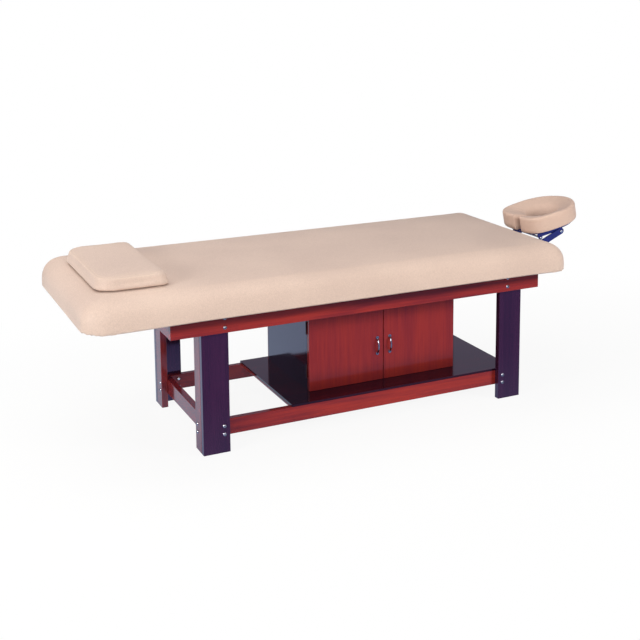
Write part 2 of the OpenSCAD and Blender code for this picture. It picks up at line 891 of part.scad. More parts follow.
// Section points as [outward, up], from the underside round to the top, lower on the inside
section_arc = 4;
dish_share = 0.4;
function section(w, t, top_r, bottom_r, dish) = concat(
    [for (i = [0 : section_arc])
        let (a = 90 * i / section_arc)
        [w / 2 - bottom_r * (1 - sin(a)), bottom_r * (1 - cos(a))]],
    [for (i = [0 : section_arc])
        let (a = 90 * i / section_arc)
        [w / 2 - top_r * (1 - cos(a)), t - top_r * (1 - sin(a))]],
    [[0, t - dish_share * dish]],
    [for (i = [section_arc : -1 : 0])
        let (a = 90 * i / section_arc)
        [-w / 2 + top_r * (1 - cos(a)), t - dish - top_r * (1 - sin(a))]],
    [for (i = [section_arc : -1 : 0])
        let (a = 90 * i / section_arc)
        [-w / 2 + bottom_r * (1 - sin(a)), bottom_r * (1 - cos(a))]]
);

// A section shrunk towards its middle by an inset, as at the rounded tips
function shrink(p, w, t, inset) = [
    p[0] * (w / 2 - inset) / (w / 2),
    t / 2 + (p[1] - t / 2) * (t / 2 - inset) / (t / 2)
];

// Stations round the ring as [angle, inset]
function ring_stations(limit) = concat(
    [for (i = [0 : tip_steps - 1])
        let (s = i / tip_steps)
        [-limit + tip_angle * s, tip_r * (1 - sqrt(1 - pow(1 - s, 2)))]],
    [for (i = [0 : ring_steps])
        [(-limit + tip_angle) + 2 * (limit - tip_angle) * i / ring_steps, 0]],
    [for (i = [tip_steps - 1 : -1 : 0])
        let (s = i / tip_steps)
        [limit - tip_angle * s, tip_r * (1 - sqrt(1 - pow(1 - s, 2)))]]
);

// Distance from the middle to an outline of half sizes a and b, an ellipse at power 2
function reach(a, b, power, angle) =
    pow(pow(abs(cos(angle)) / a, power) + pow(abs(sin(angle)) / b, power), -1 / power);

function cushion_reach(inset, angle) = reach(
    cushion_half_len - inset, cushion_half_w - inset,
    cos(angle) < 0 ? tip_power : ellipse_power, angle);

// A point of the ring at an angle, moved outwards and up, and aside by the opening slit
function ring_point(angle, out, up) =
    let (
        outer = cushion_reach(0, angle),
        inner = reach(hole_half_len, hole_half_w, ellipse_power, angle),
        r = inner + (outer - inner) * (1 / 2 + out / cushion_ring_w),
        side = angle < 0 ? -1 : 1,
        aside = cushion_slit / 2 * (1 - cos(angle)) / 2 * (1 - abs(r * sin(angle)) / cushion_half_w)
    )
    [r * cos(angle), r * sin(angle) + side * aside, up];

module cushion_ring() {
    stations = ring_stations(180);
    shape = section(cushion_ring_w, cushion_t, cushion_top_r, cushion_bottom_r, cushion_dish);
    count = len(shape);
    points = [for (st = stations) each
        [for (p = shape)
            let (q = shrink(p, cushion_ring_w, cushion_t, st[1]))
            ring_point(st[0], q[0], q[1])]];
    ring_solid(points, count, len(stations));
}

module cradle_cushion() {
    color(leather)
    on_platform()
    translate([-pivot_along, 0, pivot_drop])
        cushion_ring();
}

// Platform: the cushion's outline drawn in, opened in the middle and cut by the slit
platform_inset = 20;
hook_t = 2;
platform_z = pivot_drop - run_gap - hook_t - platform_t;
platform_steps = 60;
platform_angles = [for (i = [0 : platform_steps - 1]) 360 * i / platform_steps];

module platform_shape() {
    hole_a = hole_half_len + platform_inset;
    hole_b = hole_half_w + platform_inset;
    difference() {
        polygon([for (t = platform_angles) cushion_reach(platform_inset, t) * [cos(t), sin(t)]]);
        polygon([for (t = platform_angles) [hole_a * cos(t), hole_b * sin(t)]]);
        translate([-cushion_half_len, -cushion_slit / 2]) square([cushion_half_len, cushion_slit]);
    }
}

module cradle_platform() {
    color(navy)
    on_platform()
    translate([-pivot_along, 0, platform_z])
        linear_extrude(platform_t) platform_shape();
}

// Loop-backed strips between platform and cushion
hook_len = 60;
hook_w = 30;
hook_angles = [-110, -50, 50, 110];
module hook_strips() {
    color("black")
    on_platform()
    translate([-pivot_along, 0, pivot_drop - run_gap - hook_t])
        for (a = hook_angles)
            translate([ring_path_a * cos(a), ring_path_b * sin(a), 0])
            rotate([0, 0, atan2(ring_path_a * cos(a), -ring_path_b * sin(a))])
            translate([-hook_len / 2, -hook_w / 2, 0]) cube([hook_len, hook_w, hook_t]);
}

// Side brackets: a folded angle with two round lugs, bored for the pivots
bracket_rim = 12;
flange_w = 22;
lug_r = 9;
web_h = 17;
side_flange_t = 3;
module bracket_side_view() {
    top = platform_z;
    translate([-lug_pitch - bracket_rim, top - web_h]) square([lug_pitch + 2 * bracket_rim, web_h]);
    for (x = [-lug_pitch, 0]) {
        translate([x, 0]) circle(lug_r);
        translate([x - lug_r, 0]) square([2 * lug_r, top]);
    }
}

module side_brackets() {
    color(navy)
    on_platform()
    for (side = [-1, 1])
        mirror([0, side > 0 ? 1 : 0, 0])
        difference() {
            union() {
                translate([0, -arm_half_gap + run_gap + web_t, 0])
                    rotate([90, 0, 0]) linear_extrude(web_t) bracket_side_view();
                translate([-lug_pitch - bracket_rim, -arm_half_gap + run_gap, platform_z - side_flange_t])
                    cube([lug_pitch + 2 * bracket_rim, flange_w, side_flange_t]);
            }
            for (x = [-lug_pitch, 0])
                translate([x, 0, 0])
                bar_y(pivot_d + 2 * pin_gap, -arm_half_gap - over, -arm_half_gap + web_t + over);
        }
}

// Round bar between the inner lugs, with a domed nut at each end
nut_d = 13;
nut_h = 6;
module tie_rod() {
    color("silver")
    on_platform()
    translate([-lug_pitch, 0, 0]) {
        bar_y(pivot_d, -arm_half_gap + run_gap, arm_half_gap - run_gap);
        for (side = [-1, 1])
            mirror([0, side > 0 ? 1 : 0, 0])
            translate([0, -arm_half_gap + run_gap, 0])
            rotate([90, 0, 0]) dome(nut_d, nut_h);
    }
}

// One arm, side -1 near the doors' side and 1 on the far side
module arm(side) {
    color(navy)
    on_arm()
    mirror([0, side > 0 ? 1 : 0, 0])
    translate([0, -arm_half_gap, 0])
    rotate([90, 0, 0])
    linear_extrude(arm_t)
    difference() {
        union() {
            translate([0, -arm_w / 2]) square([arm_len, arm_w]);
            for (x = [0, arm_len]) translate([x, 0]) circle(d = arm_w);
        }
        for (x = [0, arm_len]) translate([x, 0]) circle(d = pivot_d + 2 * pin_gap);
    }
}

// Round brace between the arms
brace_d = 12;
brace_share = 0.3;
module arm_brace() {
    color(navy)
    on_arm()
    translate([brace_share * arm_len, 0, 0])
        bar_y(brace_d, -arm_half_gap, arm_half_gap);
}

// Locking levers: a cam on a cross pin at the end of a pivot
cam_r = 9;
cam_off = 1.5;
cheek_t = 4;
eye_t = 5;
eye_r = 5.5;
lever_pin_d = 5;
washer_t = 2;
washer_d = 18;
lock_y = arm_half_gap + arm_t + run_gap + washer_t + cam_r + cam_off + run_gap;

// Eye and washer at the far end of a pivot, around the pivot's axis
module pivot_eye() {
    difference() {
        union() {
            bar_y(pivot_d, lock_y - cam_r - cam_off - washer_t - run_gap, lock_y - eye_r / 2);
            translate([0, lock_y, -eye_t / 2]) cylinder(r = eye_r, h = eye_t);
            translate([-eye_r, lock_y - cam_r - cam_off, -eye_t / 2])
                cube([2 * eye_r, cam_r + cam_off, eye_t]);
        }
        for (z = [eye_t / 2, -eye_t / 2 - pivot_d])
            translate([-pivot_d, lock_y - cam_r - cam_off, z])
            cube([2 * pivot_d, cam_r + 3 * cam_off + eye_r, pivot_d]);
        translate([0, lock_y, -eye_t]) cylinder(d = lever_pin_d + 2 * pin_gap, h = 2 * eye_t);
    }
    difference() {
        bar_y(washer_d, lock_y - cam_r - cam_off - washer_t - run_gap, lock_y - cam_r - cam_off - run_gap);
        bar_y(pivot_d, 0, lock_y);
    }
}

// Lever around its cross pin, closed along +X: two cam cheeks, the pin and the handle
module lever() {
    half_t = eye_t / 2 + run_gap + cheek_t;
    for (z = [half_t - cheek_t, -half_t])
        translate([0, -cam_off, z]) cylinder(r = cam_r, h = cheek_t);
    translate([0, 0, -half_t]) cylinder(d = lever_pin_d, h = 2 * half_t);
    translate([0, 0, -half_t])
        linear_extrude(2 * half_t)
        difference() {
            union() {
                translate([eye_r + run_gap, 0]) square([lever_len - eye_r - run_gap, cam_r - cam_off]);
                translate([lever_len, (cam_r - cam_off) / 2]) circle(d = cam_r - cam_off);
            }
            circle(eye_r + run_gap);
        }
}

// Lever's place on the lower pivot and on the upper one, both along their arm
module lower_lever() {
    color("black")
    on_arm()
    translate([0, lock_y, 0]) lever();
}

module upper_lever() {
    color("black")
    on_arm()
    translate([arm_len, lock_y, 0]) mirror([1, 0, 0]) lever();
}

// Rod through the yoke and both arms, its eye at the far end
module lower_pivot_rod() {
    color("silver")
    on_arm() {
        bar_y(pivot_d, -arm_half_gap - arm_t - run_gap, lock_y - cam_r - cam_off);
        translate([0, -arm_half_gap - arm_t - run_gap, 0]) rotate([90, 0, 0]) dome(nut_d, nut_h);
        pivot_eye();
    }
}

// Short bolts at the upper pivots, the far one with an eye
module upper_pivot_bolts() {
    color("silver")
    on_arm()
    translate([arm_len, 0, 0]) {
        bar_y(pivot_d, -arm_half_gap - arm_t, -arm_half_gap + run_gap + web_t + run_gap);
        translate([0, -arm_half_gap - arm_t, 0]) rotate([90, 0, 0]) dome(nut_d, nut_h);
        translate([0, -arm_half_gap + web_t + 2 * run_gap, 0]) rotate([-90, 0, 0]) dome(nut_d, nut_h);
        bar_y(pivot_d, arm_half_gap - web_t - 2 * run_gap, lock_y - cam_r - cam_off);
        translate([0, arm_half_gap - web_t - 2 * run_gap, 0]) rotate([90, 0, 0]) dome(nut_d, nut_h);
        pivot_eye();
    }
}

// Yoke plates on the crossbar's ends, up to the lower pivot
yoke_r = 11;
module cradle_yoke() {
    color(navy)
    for (side = [-1, 1])
        mirror([0, side > 0 ? 1 : 0, 0])
        translate([lower_x, -arm_half_gap + run_gap + web_t, 0])
        rotate([90, 0, 0])
        linear_extrude(web_t)
        difference() {
            union() {
                translate([0, lower_z]) circle(yoke_r);
                translate([-yoke_r, post_z]) square([2 * yoke_r, yoke_rise]);
                translate([-crossbar_w / 2, post_z - crossbar_w / 2]) square(crossbar_w);
            }
            translate([0, lower_z]) circle(d = pivot_d + 2 * pin_gap);
        }
}

// Square tube between the yoke plates
crossbar_wall = 2;
module cradle_crossbar() {
    half = arm_half_gap - run_gap - web_t;
    color(navy)
    translate([lower_x, -half, post_z])
    rotate([-90, 0, 0])
    linear_extrude(2 * half)
    difference() {
        square(crossbar_w, center = true);
        square(crossbar_w - 2 * crossbar_wall, center = true);
    }
}

// Two round tubes that slide in the sleeves
post_x1 = lower_x - crossbar_w / 2;
post_x0 = post_x1 - post_len;
module cradle_posts() {
    color(steel)
    for (y = [-1, 1] * post_pitch / 2)
        translate([0, y, post_z])
        difference() {
            bar_x(post_d, post_x0, post_x1);
            bar_x(post_d - 2 * post_wall, post_x0 - over, post_x1 + over);
        }
}

// Sleeves fixed in the head apron and the last bearer
sleeve_wall = 2.5;
sleeve_bore = post_d + 2 * pin_gap;
sleeve_d = sleeve_bore + 2 * sleeve_wall;
sleeve_x0 = base_x1 - leg_face_w - board_t;
sleeve_flange_t = 2;
sleeve_flange_rim = 5;
sleeve_flange_d = sleeve_d + 2 * sleeve_flange_rim;
module sleeve_bores() {
    for (y = [-1, 1] * post_pitch / 2)
        translate([0, y, post_z])
        bar_x(sleeve_d + 2 * pin_gap, sleeve_x0 - over, apron_x1 + over);
}

module socket_sleeves() {
    color(steel)
    for (y = [-1, 1] * post_pitch / 2)
        translate([0, y, post_z])
        difference() {
            union() {
                bar_x(sleeve_d, sleeve_x0, apron_x1);
                bar_x(sleeve_flange_d, apron_x1, apron_x1 + sleeve_flange_t);
            }
            bar_x(sleeve_bore, sleeve_x0 - over, apron_x1 + sleeve_flange_t + over);
        }
}

pad();
pad_board();
pad_brackets();
leg_face(-1, -1);  // leg_face_front_foot
leg_face(1, -1);  // leg_face_front_head
leg_face(-1, 1);  // leg_face_back_foot
leg_face(1, 1);  // leg_face_back_head
leg_side(-1, -1);  // leg_side_front_foot
leg_side(1, -1);  // leg_side_front_head
leg_side(-1, 1);  // leg_side_back_foot
leg_side(1, 1);  // leg_side_back_head
apron_long(-1);  // apron_front
apron_long(1);  // apron_back
apron_foot();
apron_head();
pad_bearers();
rail_long(-1);  // rail_front
rail_long(1);  // rail_back
rail_end(-1);  // rail_foot
rail_end(1);  // rail_head
shelf_panel();
shelf_battens();
bolts();
dome_nuts();
foot_glides();
cabinet_side(-1);  // cabinet_side_left
cabinet_side(1);  // cabinet_side_right
cabinet_flat(shelf_top);  // cabinet_floor
cabinet_flat(cab_top - panel_t);  // cabinet_top
cabinet_back();
inner_shelf();
shelf_pins();
magnet_catches();
hinge_case_leaves();
door(-1);  // door_left
door(1);  // door_right
handle(-1);  // handle_left
handle(1);  // handle_right
hinge_door_leaves(-1);  // hinge_door_leaves_left
hinge_door_leaves(1);  // hinge_door_leaves_right
strike(-1);  // strike_left
strike(1);  // strike_right
pillow();
socket_sleeves();
cradle_posts();
cradle_crossbar();
cradle_yoke();
lower_pivot_rod();
arm(-1);  // arm_near
arm(1);  // arm_far
arm_brace();
upper_pivot_bolts();
cradle_platform();
side_brackets();
tie_rod();
hook_strips();
cradle_cushion();
lower_lever();
upper_lever();
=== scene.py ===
"""Looks of the spa bed: upholstery, lacquered timber, cabinet fittings and the face cradle."""

import json
import math

import bmesh
import bpy
import numpy as np
from mathutils import Matrix, Vector


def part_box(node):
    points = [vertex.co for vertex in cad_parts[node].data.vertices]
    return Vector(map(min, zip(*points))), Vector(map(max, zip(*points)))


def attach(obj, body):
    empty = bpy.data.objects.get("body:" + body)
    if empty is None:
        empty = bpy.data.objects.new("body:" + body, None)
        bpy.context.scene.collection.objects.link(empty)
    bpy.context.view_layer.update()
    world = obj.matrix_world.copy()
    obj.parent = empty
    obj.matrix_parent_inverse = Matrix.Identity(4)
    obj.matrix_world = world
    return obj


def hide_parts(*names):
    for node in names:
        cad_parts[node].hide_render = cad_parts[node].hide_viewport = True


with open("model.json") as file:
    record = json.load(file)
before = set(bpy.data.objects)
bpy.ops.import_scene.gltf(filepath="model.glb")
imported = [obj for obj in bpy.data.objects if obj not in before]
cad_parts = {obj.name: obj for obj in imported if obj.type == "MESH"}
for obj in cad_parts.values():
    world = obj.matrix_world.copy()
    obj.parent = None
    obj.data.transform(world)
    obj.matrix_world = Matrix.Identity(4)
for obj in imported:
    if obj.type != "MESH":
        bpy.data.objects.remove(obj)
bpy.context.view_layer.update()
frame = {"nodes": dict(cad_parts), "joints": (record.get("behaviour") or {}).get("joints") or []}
nodes = frame["nodes"]
joints = {joint["name"]: joint for joint in frame["joints"]}
scene = bpy.context.scene

# Lengths below this count as none
TINY = 1e-5


# Selecting, adding and shaping


def only(obj):
    """Selects this piece alone and makes it the active one."""
    bpy.ops.object.select_all(action="DESELECT")
    obj.select_set(True)
    bpy.context.view_layer.objects.active = obj


def named(name):
    """Names the active piece and its mesh."""
    obj = bpy.context.object
    obj.name = name
    obj.data.name = name
    return obj


def fix_place(obj):
    """Puts the object's place, turn and scale into its mesh."""
    only(obj)
    bpy.ops.object.transform_apply(location=True, rotation=True, scale=True)
    return obj


def block(name, low, high):
    """A box from one corner to the other."""
    low, high = Vector(low), Vector(high)
    bpy.ops.object.select_all(action="DESELECT")
    bpy.ops.mesh.primitive_cube_add(size=1, location=(low + high) / 2, scale=high - low)
    return fix_place(named(name))


def disc(name, radius, depth, middle=(0, 0, 0), sides=24):
    """A round bar along Z around a middle point."""
    bpy.ops.object.select_all(action="DESELECT")
    bpy.ops.mesh.primitive_cylinder_add(vertices=sides, radius=radius, depth=depth, location=middle)
    return fix_place(named(name))


def modify(obj, kind, **values):
    """Adds a modifier with these values and applies it."""
    only(obj)
    modifier = obj.modifiers.new(kind.lower(), kind)
    for key, value in values.items():
        setattr(modifier, key, value)
    bpy.ops.object.modifier_apply(modifier=modifier.name)
    return obj


def in_edit(obj, part, test, work):
    """Selects the faces, edges or vertices that pass a test, then works on them in edit mode."""
    only(obj)
    bpy.ops.object.mode_set(mode="EDIT")
    bpy.ops.mesh.select_mode(type={"verts": "VERT", "edges": "EDGE", "faces": "FACE"}[part])
    bpy.ops.mesh.select_all(action="DESELECT")
    mesh = bmesh.from_edit_mesh(obj.data)
    for item in getattr(mesh, part):
        if test(item):
            item.select_set(True)
    mesh.select_flush_mode()
    bmesh.update_edit_mesh(obj.data)
    work()
    bpy.ops.object.mode_set(mode="OBJECT")
    return obj


def bevel_edges(obj, test, width, segments):
    return in_edit(
        obj, "edges", test, lambda: bpy.ops.mesh.bevel(offset=width, segments=segments, affect="EDGES")
    )


def upright(edge):
    a, b = (v.co for v in edge.verts)
    return abs(a.z - b.z) > 0.9 * (a - b).length


def between_square_faces(edge):
    """Whether an edge's two faces still meet at a right angle."""
    a, b = (f.normal for f in edge.link_faces)
    return abs(a.dot(b)) < 0.1


def level_at(z):
    """A test for the edges round a flat face at one height."""

    def test(edge):
        flat = all(abs(v.co.z - z) < TINY for v in edge.verts)
        return flat and len(edge.link_faces) == 2 and any(abs(f.normal.z) < 0.5 for f in edge.link_faces)

    return test


def smooth(obj, angle=40):
    only(obj)
    bpy.ops.object.shade_smooth_by_angle(angle=math.radians(angle))
    return obj


def points_of(obj):
    co = np.zeros(len(obj.data.vertices) * 3)
    obj.data.vertices.foreach_get("co", co)
    return co.reshape(-1, 3)


def set_points(obj, co):
    obj.data.vertices.foreach_set("co", np.ascontiguousarray(co, dtype=float).ravel())
    obj.data.update()


def copy_to(obj, name, matrix):
    """A copy with its own mesh, moved by a matrix."""
    twin = obj.copy()
    twin.data = obj.data.copy()
    twin.name = name
    twin.data.name = name
    scene.collection.objects.link(twin)
    twin.data.transform(matrix)
    return twin


def joined(name, pieces):
    bpy.ops.object.select_all(action="DESELECT")
    for piece in pieces:
        piece.select_set(True)
    bpy.context.view_layer.objects.active = pieces[0]
    if len(pieces) > 1:
        bpy.ops.object.join()
    return named(name)


def drop(obj):
    bpy.data.objects.remove(obj)


def cut_out(obj, cutter):
    """Takes the cutter's shape out of a piece, and the cutter away."""
    modify(obj, "BOOLEAN", operation="DIFFERENCE", solver="EXACT", object=cutter)
    drop(cutter)
    return obj


# Nodes of materials


def feed(tree, socket, value):
    """Sets a socket's value or links it; a colour is given as three numbers."""
    if isinstance(value, (int, float)):
        socket.default_value = value
    elif isinstance(value, tuple):
        socket.default_value = (*value, 1.0) if len(socket.default_value) == 4 else value
    else:
        tree.links.new(value, socket)


def feed_all(tree, sockets, values):
    for key, value in values.items():
        feed(tree, sockets[key], value)


def add_node(tree, kind, values, **settings):
    """A node with these settings, its sockets fed by name or number; gives what it puts out."""
    node = tree.nodes.new(kind)
    for key, value in settings.items():
        setattr(node, key, value)
    feed_all(tree, node.inputs, values)
    return node.outputs


def math_node(tree, operation, a, b=0.0):
    return add_node(tree, "ShaderNodeMath", {0: a, 1: b}, operation=operation)[0]


def scaled_by(tree, vector, factor):
    """A vector or colour times a value."""
    return add_node(tree, "ShaderNodeVectorMath", {0: vector, "Scale": factor}, operation="SCALE")[0]


def stretched(tree, vector, stretch):
    """A vector times its own number on each axis."""
    return add_node(tree, "ShaderNodeVectorMath", {0: vector, 1: stretch}, operation="MULTIPLY")[0]


def blended(tree, a, b, share):
    """Two values added, the first by its share and the second by the rest."""
    rest = math_node(tree, "MULTIPLY", b, 1 - share)
    return math_node(tree, "ADD", math_node(tree, "MULTIPLY", a, share), rest)


def ranged(tree, value, low, high, out_low=0.0, out_high=1.0):
    """Maps a value smoothly from one span to another, and holds it at the ends."""
    spans = {"Value": value, "From Min": low, "From Max": high, "To Min": out_low, "To Max": out_high}
    return add_node(tree, "ShaderNodeMapRange", spans, interpolation_type="SMOOTHSTEP")["Result"]


def mix_colour(tree, factor, a, b):
    return add_node(tree, "ShaderNodeMix", {0: factor, 6: a, 7: b}, data_type="RGBA")[2]


def stretched_noise(tree, vector, stretch, detail, roughness, distortion=0.0):
    values = {
        "Vector": stretched(tree, vector, stretch),
        "Scale": 1.0, "Detail": detail, "Roughness": roughness, "Distortion": distortion,
    }
    return add_node(tree, "ShaderNodeTexNoise", values)["Fac"]


def bump(tree, height, depth):
    values = {"Height": height, "Strength": 1.0, "Distance": depth}
    return add_node(tree, "ShaderNodeBump", values)["Normal"]


# Node groups for effects that several materials share


def effect(name, inputs, outputs):
    """An empty node group: its tree, what comes in and what goes out."""
    tree = bpy.data.node_groups.new(name, "ShaderNodeTree")
    for in_out, sockets in (("INPUT", inputs), ("OUTPUT", outputs)):
        for label, kind in sockets.items():
            tree.interface.new_socket(label, in_out=in_out, socket_type="NodeSocket" + kind)
    return tree, tree.nodes.new("NodeGroupInput").outputs, tree.nodes.new("NodeGroupOutput").inputs


def use_effect(tree, group, values):
    """Places a node group with these values and gives what it puts out."""
    return add_node(tree, "ShaderNodeGroup", values, node_tree=group)


def build_timber_figure():
    """Bands, fibres and pores of timber whose grain runs along X of the vector."""
    tree, ins, outs = effect(
        "timber figure",
        {"Vector": "Vector", "Dark": "Color", "Light": "Color", "Contrast": "Float"},
        {"Color": "Color", "Fibre": "Float"},
    )
    vector = ins["Vector"]
    bands = stretched_noise(tree, vector, (1.1, 13, 13), 3, 0.55, 0.7)
    streaks = stretched_noise(tree, vector, (3.5, 90, 90), 4, 0.6, 0.3)
    fibre = stretched_noise(tree, vector, (9, 620, 620), 4, 0.65)
    pores = stretched_noise(tree, vector, (70, 1500, 1500), 1, 0.5)
    parted = math_node(tree, "SUBTRACT", blended(tree, bands, streaks, 0.6), 0.5)
    spread = math_node(tree, "ADD", math_node(tree, "MULTIPLY", parted, ins["Contrast"]), 0.5)
    base = mix_colour(tree, ranged(tree, spread, 0.28, 0.72), ins["Dark"], ins["Light"])
    lit = scaled_by(tree, base, ranged(tree, fibre, 0.3, 0.7, 0.86, 1.1))
    filled = math_node(tree, "MULTIPLY", ranged(tree, pores, 0.66, 0.78), 0.45)
    pore_colour = (0.012, 0.004, 0.006)
    feed(tree, outs["Color"], mix_colour(tree, filled, lit, pore_colour))
    feed(tree, outs["Fibre"], fibre)
    return tree


def build_cover_grain():
    """Small pebbles of coated cover cloth, with a soft drift of tone and painted shade in the grooves
    between them.
    """
    tree, ins, outs = effect(
        "cover grain",
        {"Vector": "Vector", "Color": "Color", "Drift Color": "Color", "Cells": "Float"},
        {"Color": "Color", "Height": "Float"},
    )
    vector = ins["Vector"]
    warp = add_node(tree, "ShaderNodeTexNoise", {"Vector": vector, "Scale": 900.0, "Detail": 2.0})
    nudge = scaled_by(tree, warp["Color"], 0.0007)
    moved = add_node(tree, "ShaderNodeVectorMath", {0: vector, 1: nudge}, operation="ADD")[0]
    pebbles = {"Vector": moved, "Scale": ins["Cells"], "Smoothness": 0.35}
    cells = add_node(tree, "ShaderNodeTexVoronoi", pebbles, feature="SMOOTH_F1")
    dome = ranged(tree, cells["Distance"], 0.05, 0.62, 1.0, 0.0)
    drift = stretched_noise(tree, vector, (3, 3, 3), 3, 0.5)
    mottle = stretched_noise(tree, vector, (210, 210, 210), 2, 0.6)
    toned = ranged(tree, blended(tree, drift, mottle, 0.55), 0.38, 0.62)
    colour = mix_colour(tree, toned, ins["Color"], ins["Drift Color"])
    # Painted shade: the colour darkens away from each pebble's dome, in the grooves
    feed(tree, outs["Color"], scaled_by(tree, colour, ranged(tree, dome, 0.0, 0.6, 0.86, 1.0)))
    feed(tree, outs["Height"], dome)
    return tree


def build_seam_lines():
    """Groove of a seam and the stitches beside it, from a piece's own seam distance and run."""
    tree, ins, outs = effect(
        "seam lines", {"Distance": "Float", "Run": "Float"}, {"Height": "Float", "Thread": "Float"}
    )
    groove_half, stitch_aside, thread_in, thread_out = 0.0022, 0.0042, 0.0005, 0.0011
    turns_per_metre = 1570.0
    groove = ranged(tree, ins["Distance"], 0.0, groove_half, -1.0, 0.0)
    side = math_node(tree, "ABSOLUTE", math_node(tree, "SUBTRACT", ins["Distance"], stitch_aside))
    line = ranged(tree, side, thread_in, thread_out, 1.0, 0.0)
    wave = math_node(tree, "SINE", math_node(tree, "MULTIPLY", ins["Run"], turns_per_metre))
    thread = math_node(tree, "MULTIPLY", line, ranged(tree, wave, -0.45, -0.1))
    feed(tree, outs["Height"], math_node(tree, "ADD", groove, math_node(tree, "MULTIPLY", thread, 0.35)))
    feed(tree, outs["Thread"], thread)
    return tree


def build_fine_speckle():
    """Fine moulded or sprayed surface: a height and a slow drift."""
    tree, ins, outs = effect(
        "fine speckle", {"Vector": "Vector", "Size": "Float"}, {"Height": "Float", "Drift": "Float"}
    )
    values = {"Vector": ins["Vector"], "Scale": ins["Size"], "Detail": 2.0, "Roughness": 0.5}
    feed(tree, outs["Height"], add_node(tree, "ShaderNodeTexNoise", values)["Fac"])
    feed(tree, outs["Drift"], stretched_noise(tree, ins["Vector"], (14, 14, 14), 2, 0.5))
    return tree


# Heights above the floor between which painted shade darkens a board's lacquer, and how dark it gets
PAINTED_SHADE_LABELS = ("Low", "Low End", "High", "High End", "Low Tone", "High Tone")


def build_painted_edge_shade():
    """Painted shade: darker lacquer towards a board's lower and upper edges, in place of the shade that the
    parts above and below cast there.
    """
    tree, ins, outs = effect(
        "toned edges",
        {"Vector": "Vector", "Color": "Color", **{label: "Float" for label in PAINTED_SHADE_LABELS}},
        {"Color": "Color"},
    )
    height = add_node(tree, "ShaderNodeSeparateXYZ", {0: ins["Vector"]})["Z"]
    lower = ranged(tree, height, ins["Low"], ins["Low End"], ins["Low Tone"])
    upper = ranged(tree, height, ins["High End"], ins["High"], ins["High Tone"])
    feed(tree, outs["Color"], scaled_by(tree, ins["Color"], math_node(tree, "MULTIPLY", lower, upper)))
    return tree


timber_figure = build_timber_figure()
painted_edge_shade = build_painted_edge_shade()
cover_grain = build_cover_grain()
seam_lines = build_seam_lines()
fine_speckle = build_fine_speckle()


# Materials


def new_material(name):
    """A material, its tree, its shader's sockets and the place on the piece."""
    material = bpy.data.materials.new(name)
    material.use_nodes = True
    tree = material.node_tree
    place = tree.nodes.new("ShaderNodeTexCoord").outputs["Object"]
    return material, tree, tree.nodes["Principled BSDF"].inputs, place


def timber(name, turn, dark, light, contrast=1.0, gloss=0.1, ior=1.5, tint=(1, 1, 1), edges=None):
    """Timber with its grain along X after the turn, in degrees round each axis."""
    material, tree, shader, place = new_material(name)
    turned = {"Vector": place, "Rotation": tuple(math.radians(a) for a in turn)}
    grain_place = add_node(tree, "ShaderNodeMapping", turned)[0]
    figure = use_effect(
        tree, timber_figure, {"Vector": grain_place, "Dark": dark, "Light": light, "Contrast": contrast}
    )
    colour = figure["Color"]
    # Painted shade by height, when heights are given
    if edges:
        painted_shade_heights = dict(zip(PAINTED_SHADE_LABELS, edges))
        colour = use_effect(tree, painted_edge_shade, {"Vector": place, "Color": colour, **painted_shade_heights})["Color"]
    fibre_depth = 0.00004
    feed_all(tree, shader, {
        "Base Color": colour,
        "Roughness": ranged(tree, figure["Fibre"], 0.3, 0.7, gloss * 0.8, gloss * 1.3),
        "IOR": ior,
        "Specular Tint": tint,
        "Normal": bump(tree, figure["Fibre"], fibre_depth),
    })
    return material


def cover_cloth(name, light, deep, seams=False):
    """Coated cloth between two close tones; with seams, its piece carries the seam's attributes."""
    material, tree, shader, place = new_material(name)
    grain = use_effect(
        tree, cover_grain, {"Vector": place, "Color": light, "Drift Color": deep, "Cells": 620.0}
    )
    colour, height, depth = grain["Color"], grain["Height"], 0.00011
    if seams:
        distance, run = (
            add_node(tree, "ShaderNodeAttribute", {}, attribute_name=label)["Fac"]
            for label in ("seam_distance", "seam_run")
        )
        lines = use_effect(tree, seam_lines, {"Distance": distance, "Run": run})
        thread_colour = (0.70, 0.54, 0.42)
        colour = mix_colour(tree, lines["Thread"], colour, thread_colour)
        height = math_node(tree, "ADD", math_node(tree, "MULTIPLY", height, 0.12), lines["Height"])
        depth = 0.0009
    feed_all(tree, shader, {
        "Base Color": colour,
        "Roughness": ranged(tree, grain["Height"], 0.0, 1.0, 0.62, 0.46),
        "IOR": 1.42,
        "Sheen Weight": 0.08,
        "Sheen Roughness": 0.5,
        "Normal": bump(tree, height, depth),
    })
    return material


def finish_of(name, colour, roughness, metallic=0.0, size=900.0, depth=0.00001, coat=0.0):
    """Moulded, painted or plated surface with a fine speckle."""
    material, tree, shader, place = new_material(name)
    speckle = use_effect(tree, fine_speckle, {"Vector": place, "Size": size})
    tone = ranged(tree, speckle["Drift"], 0.3, 0.7, 0.9, 1.08)
    feed_all(tree, shader, {
        "Base Color": scaled_by(tree, colour, tone),
        "Roughness": ranged(tree, speckle["Drift"], 0.3, 0.7, roughness * 0.85, roughness * 1.2),
        "Metallic": metallic,
        "IOR": 1.5,
        "Coat Weight": coat,
        "Normal": bump(tree, speckle["Height"], depth),
    })
    return material


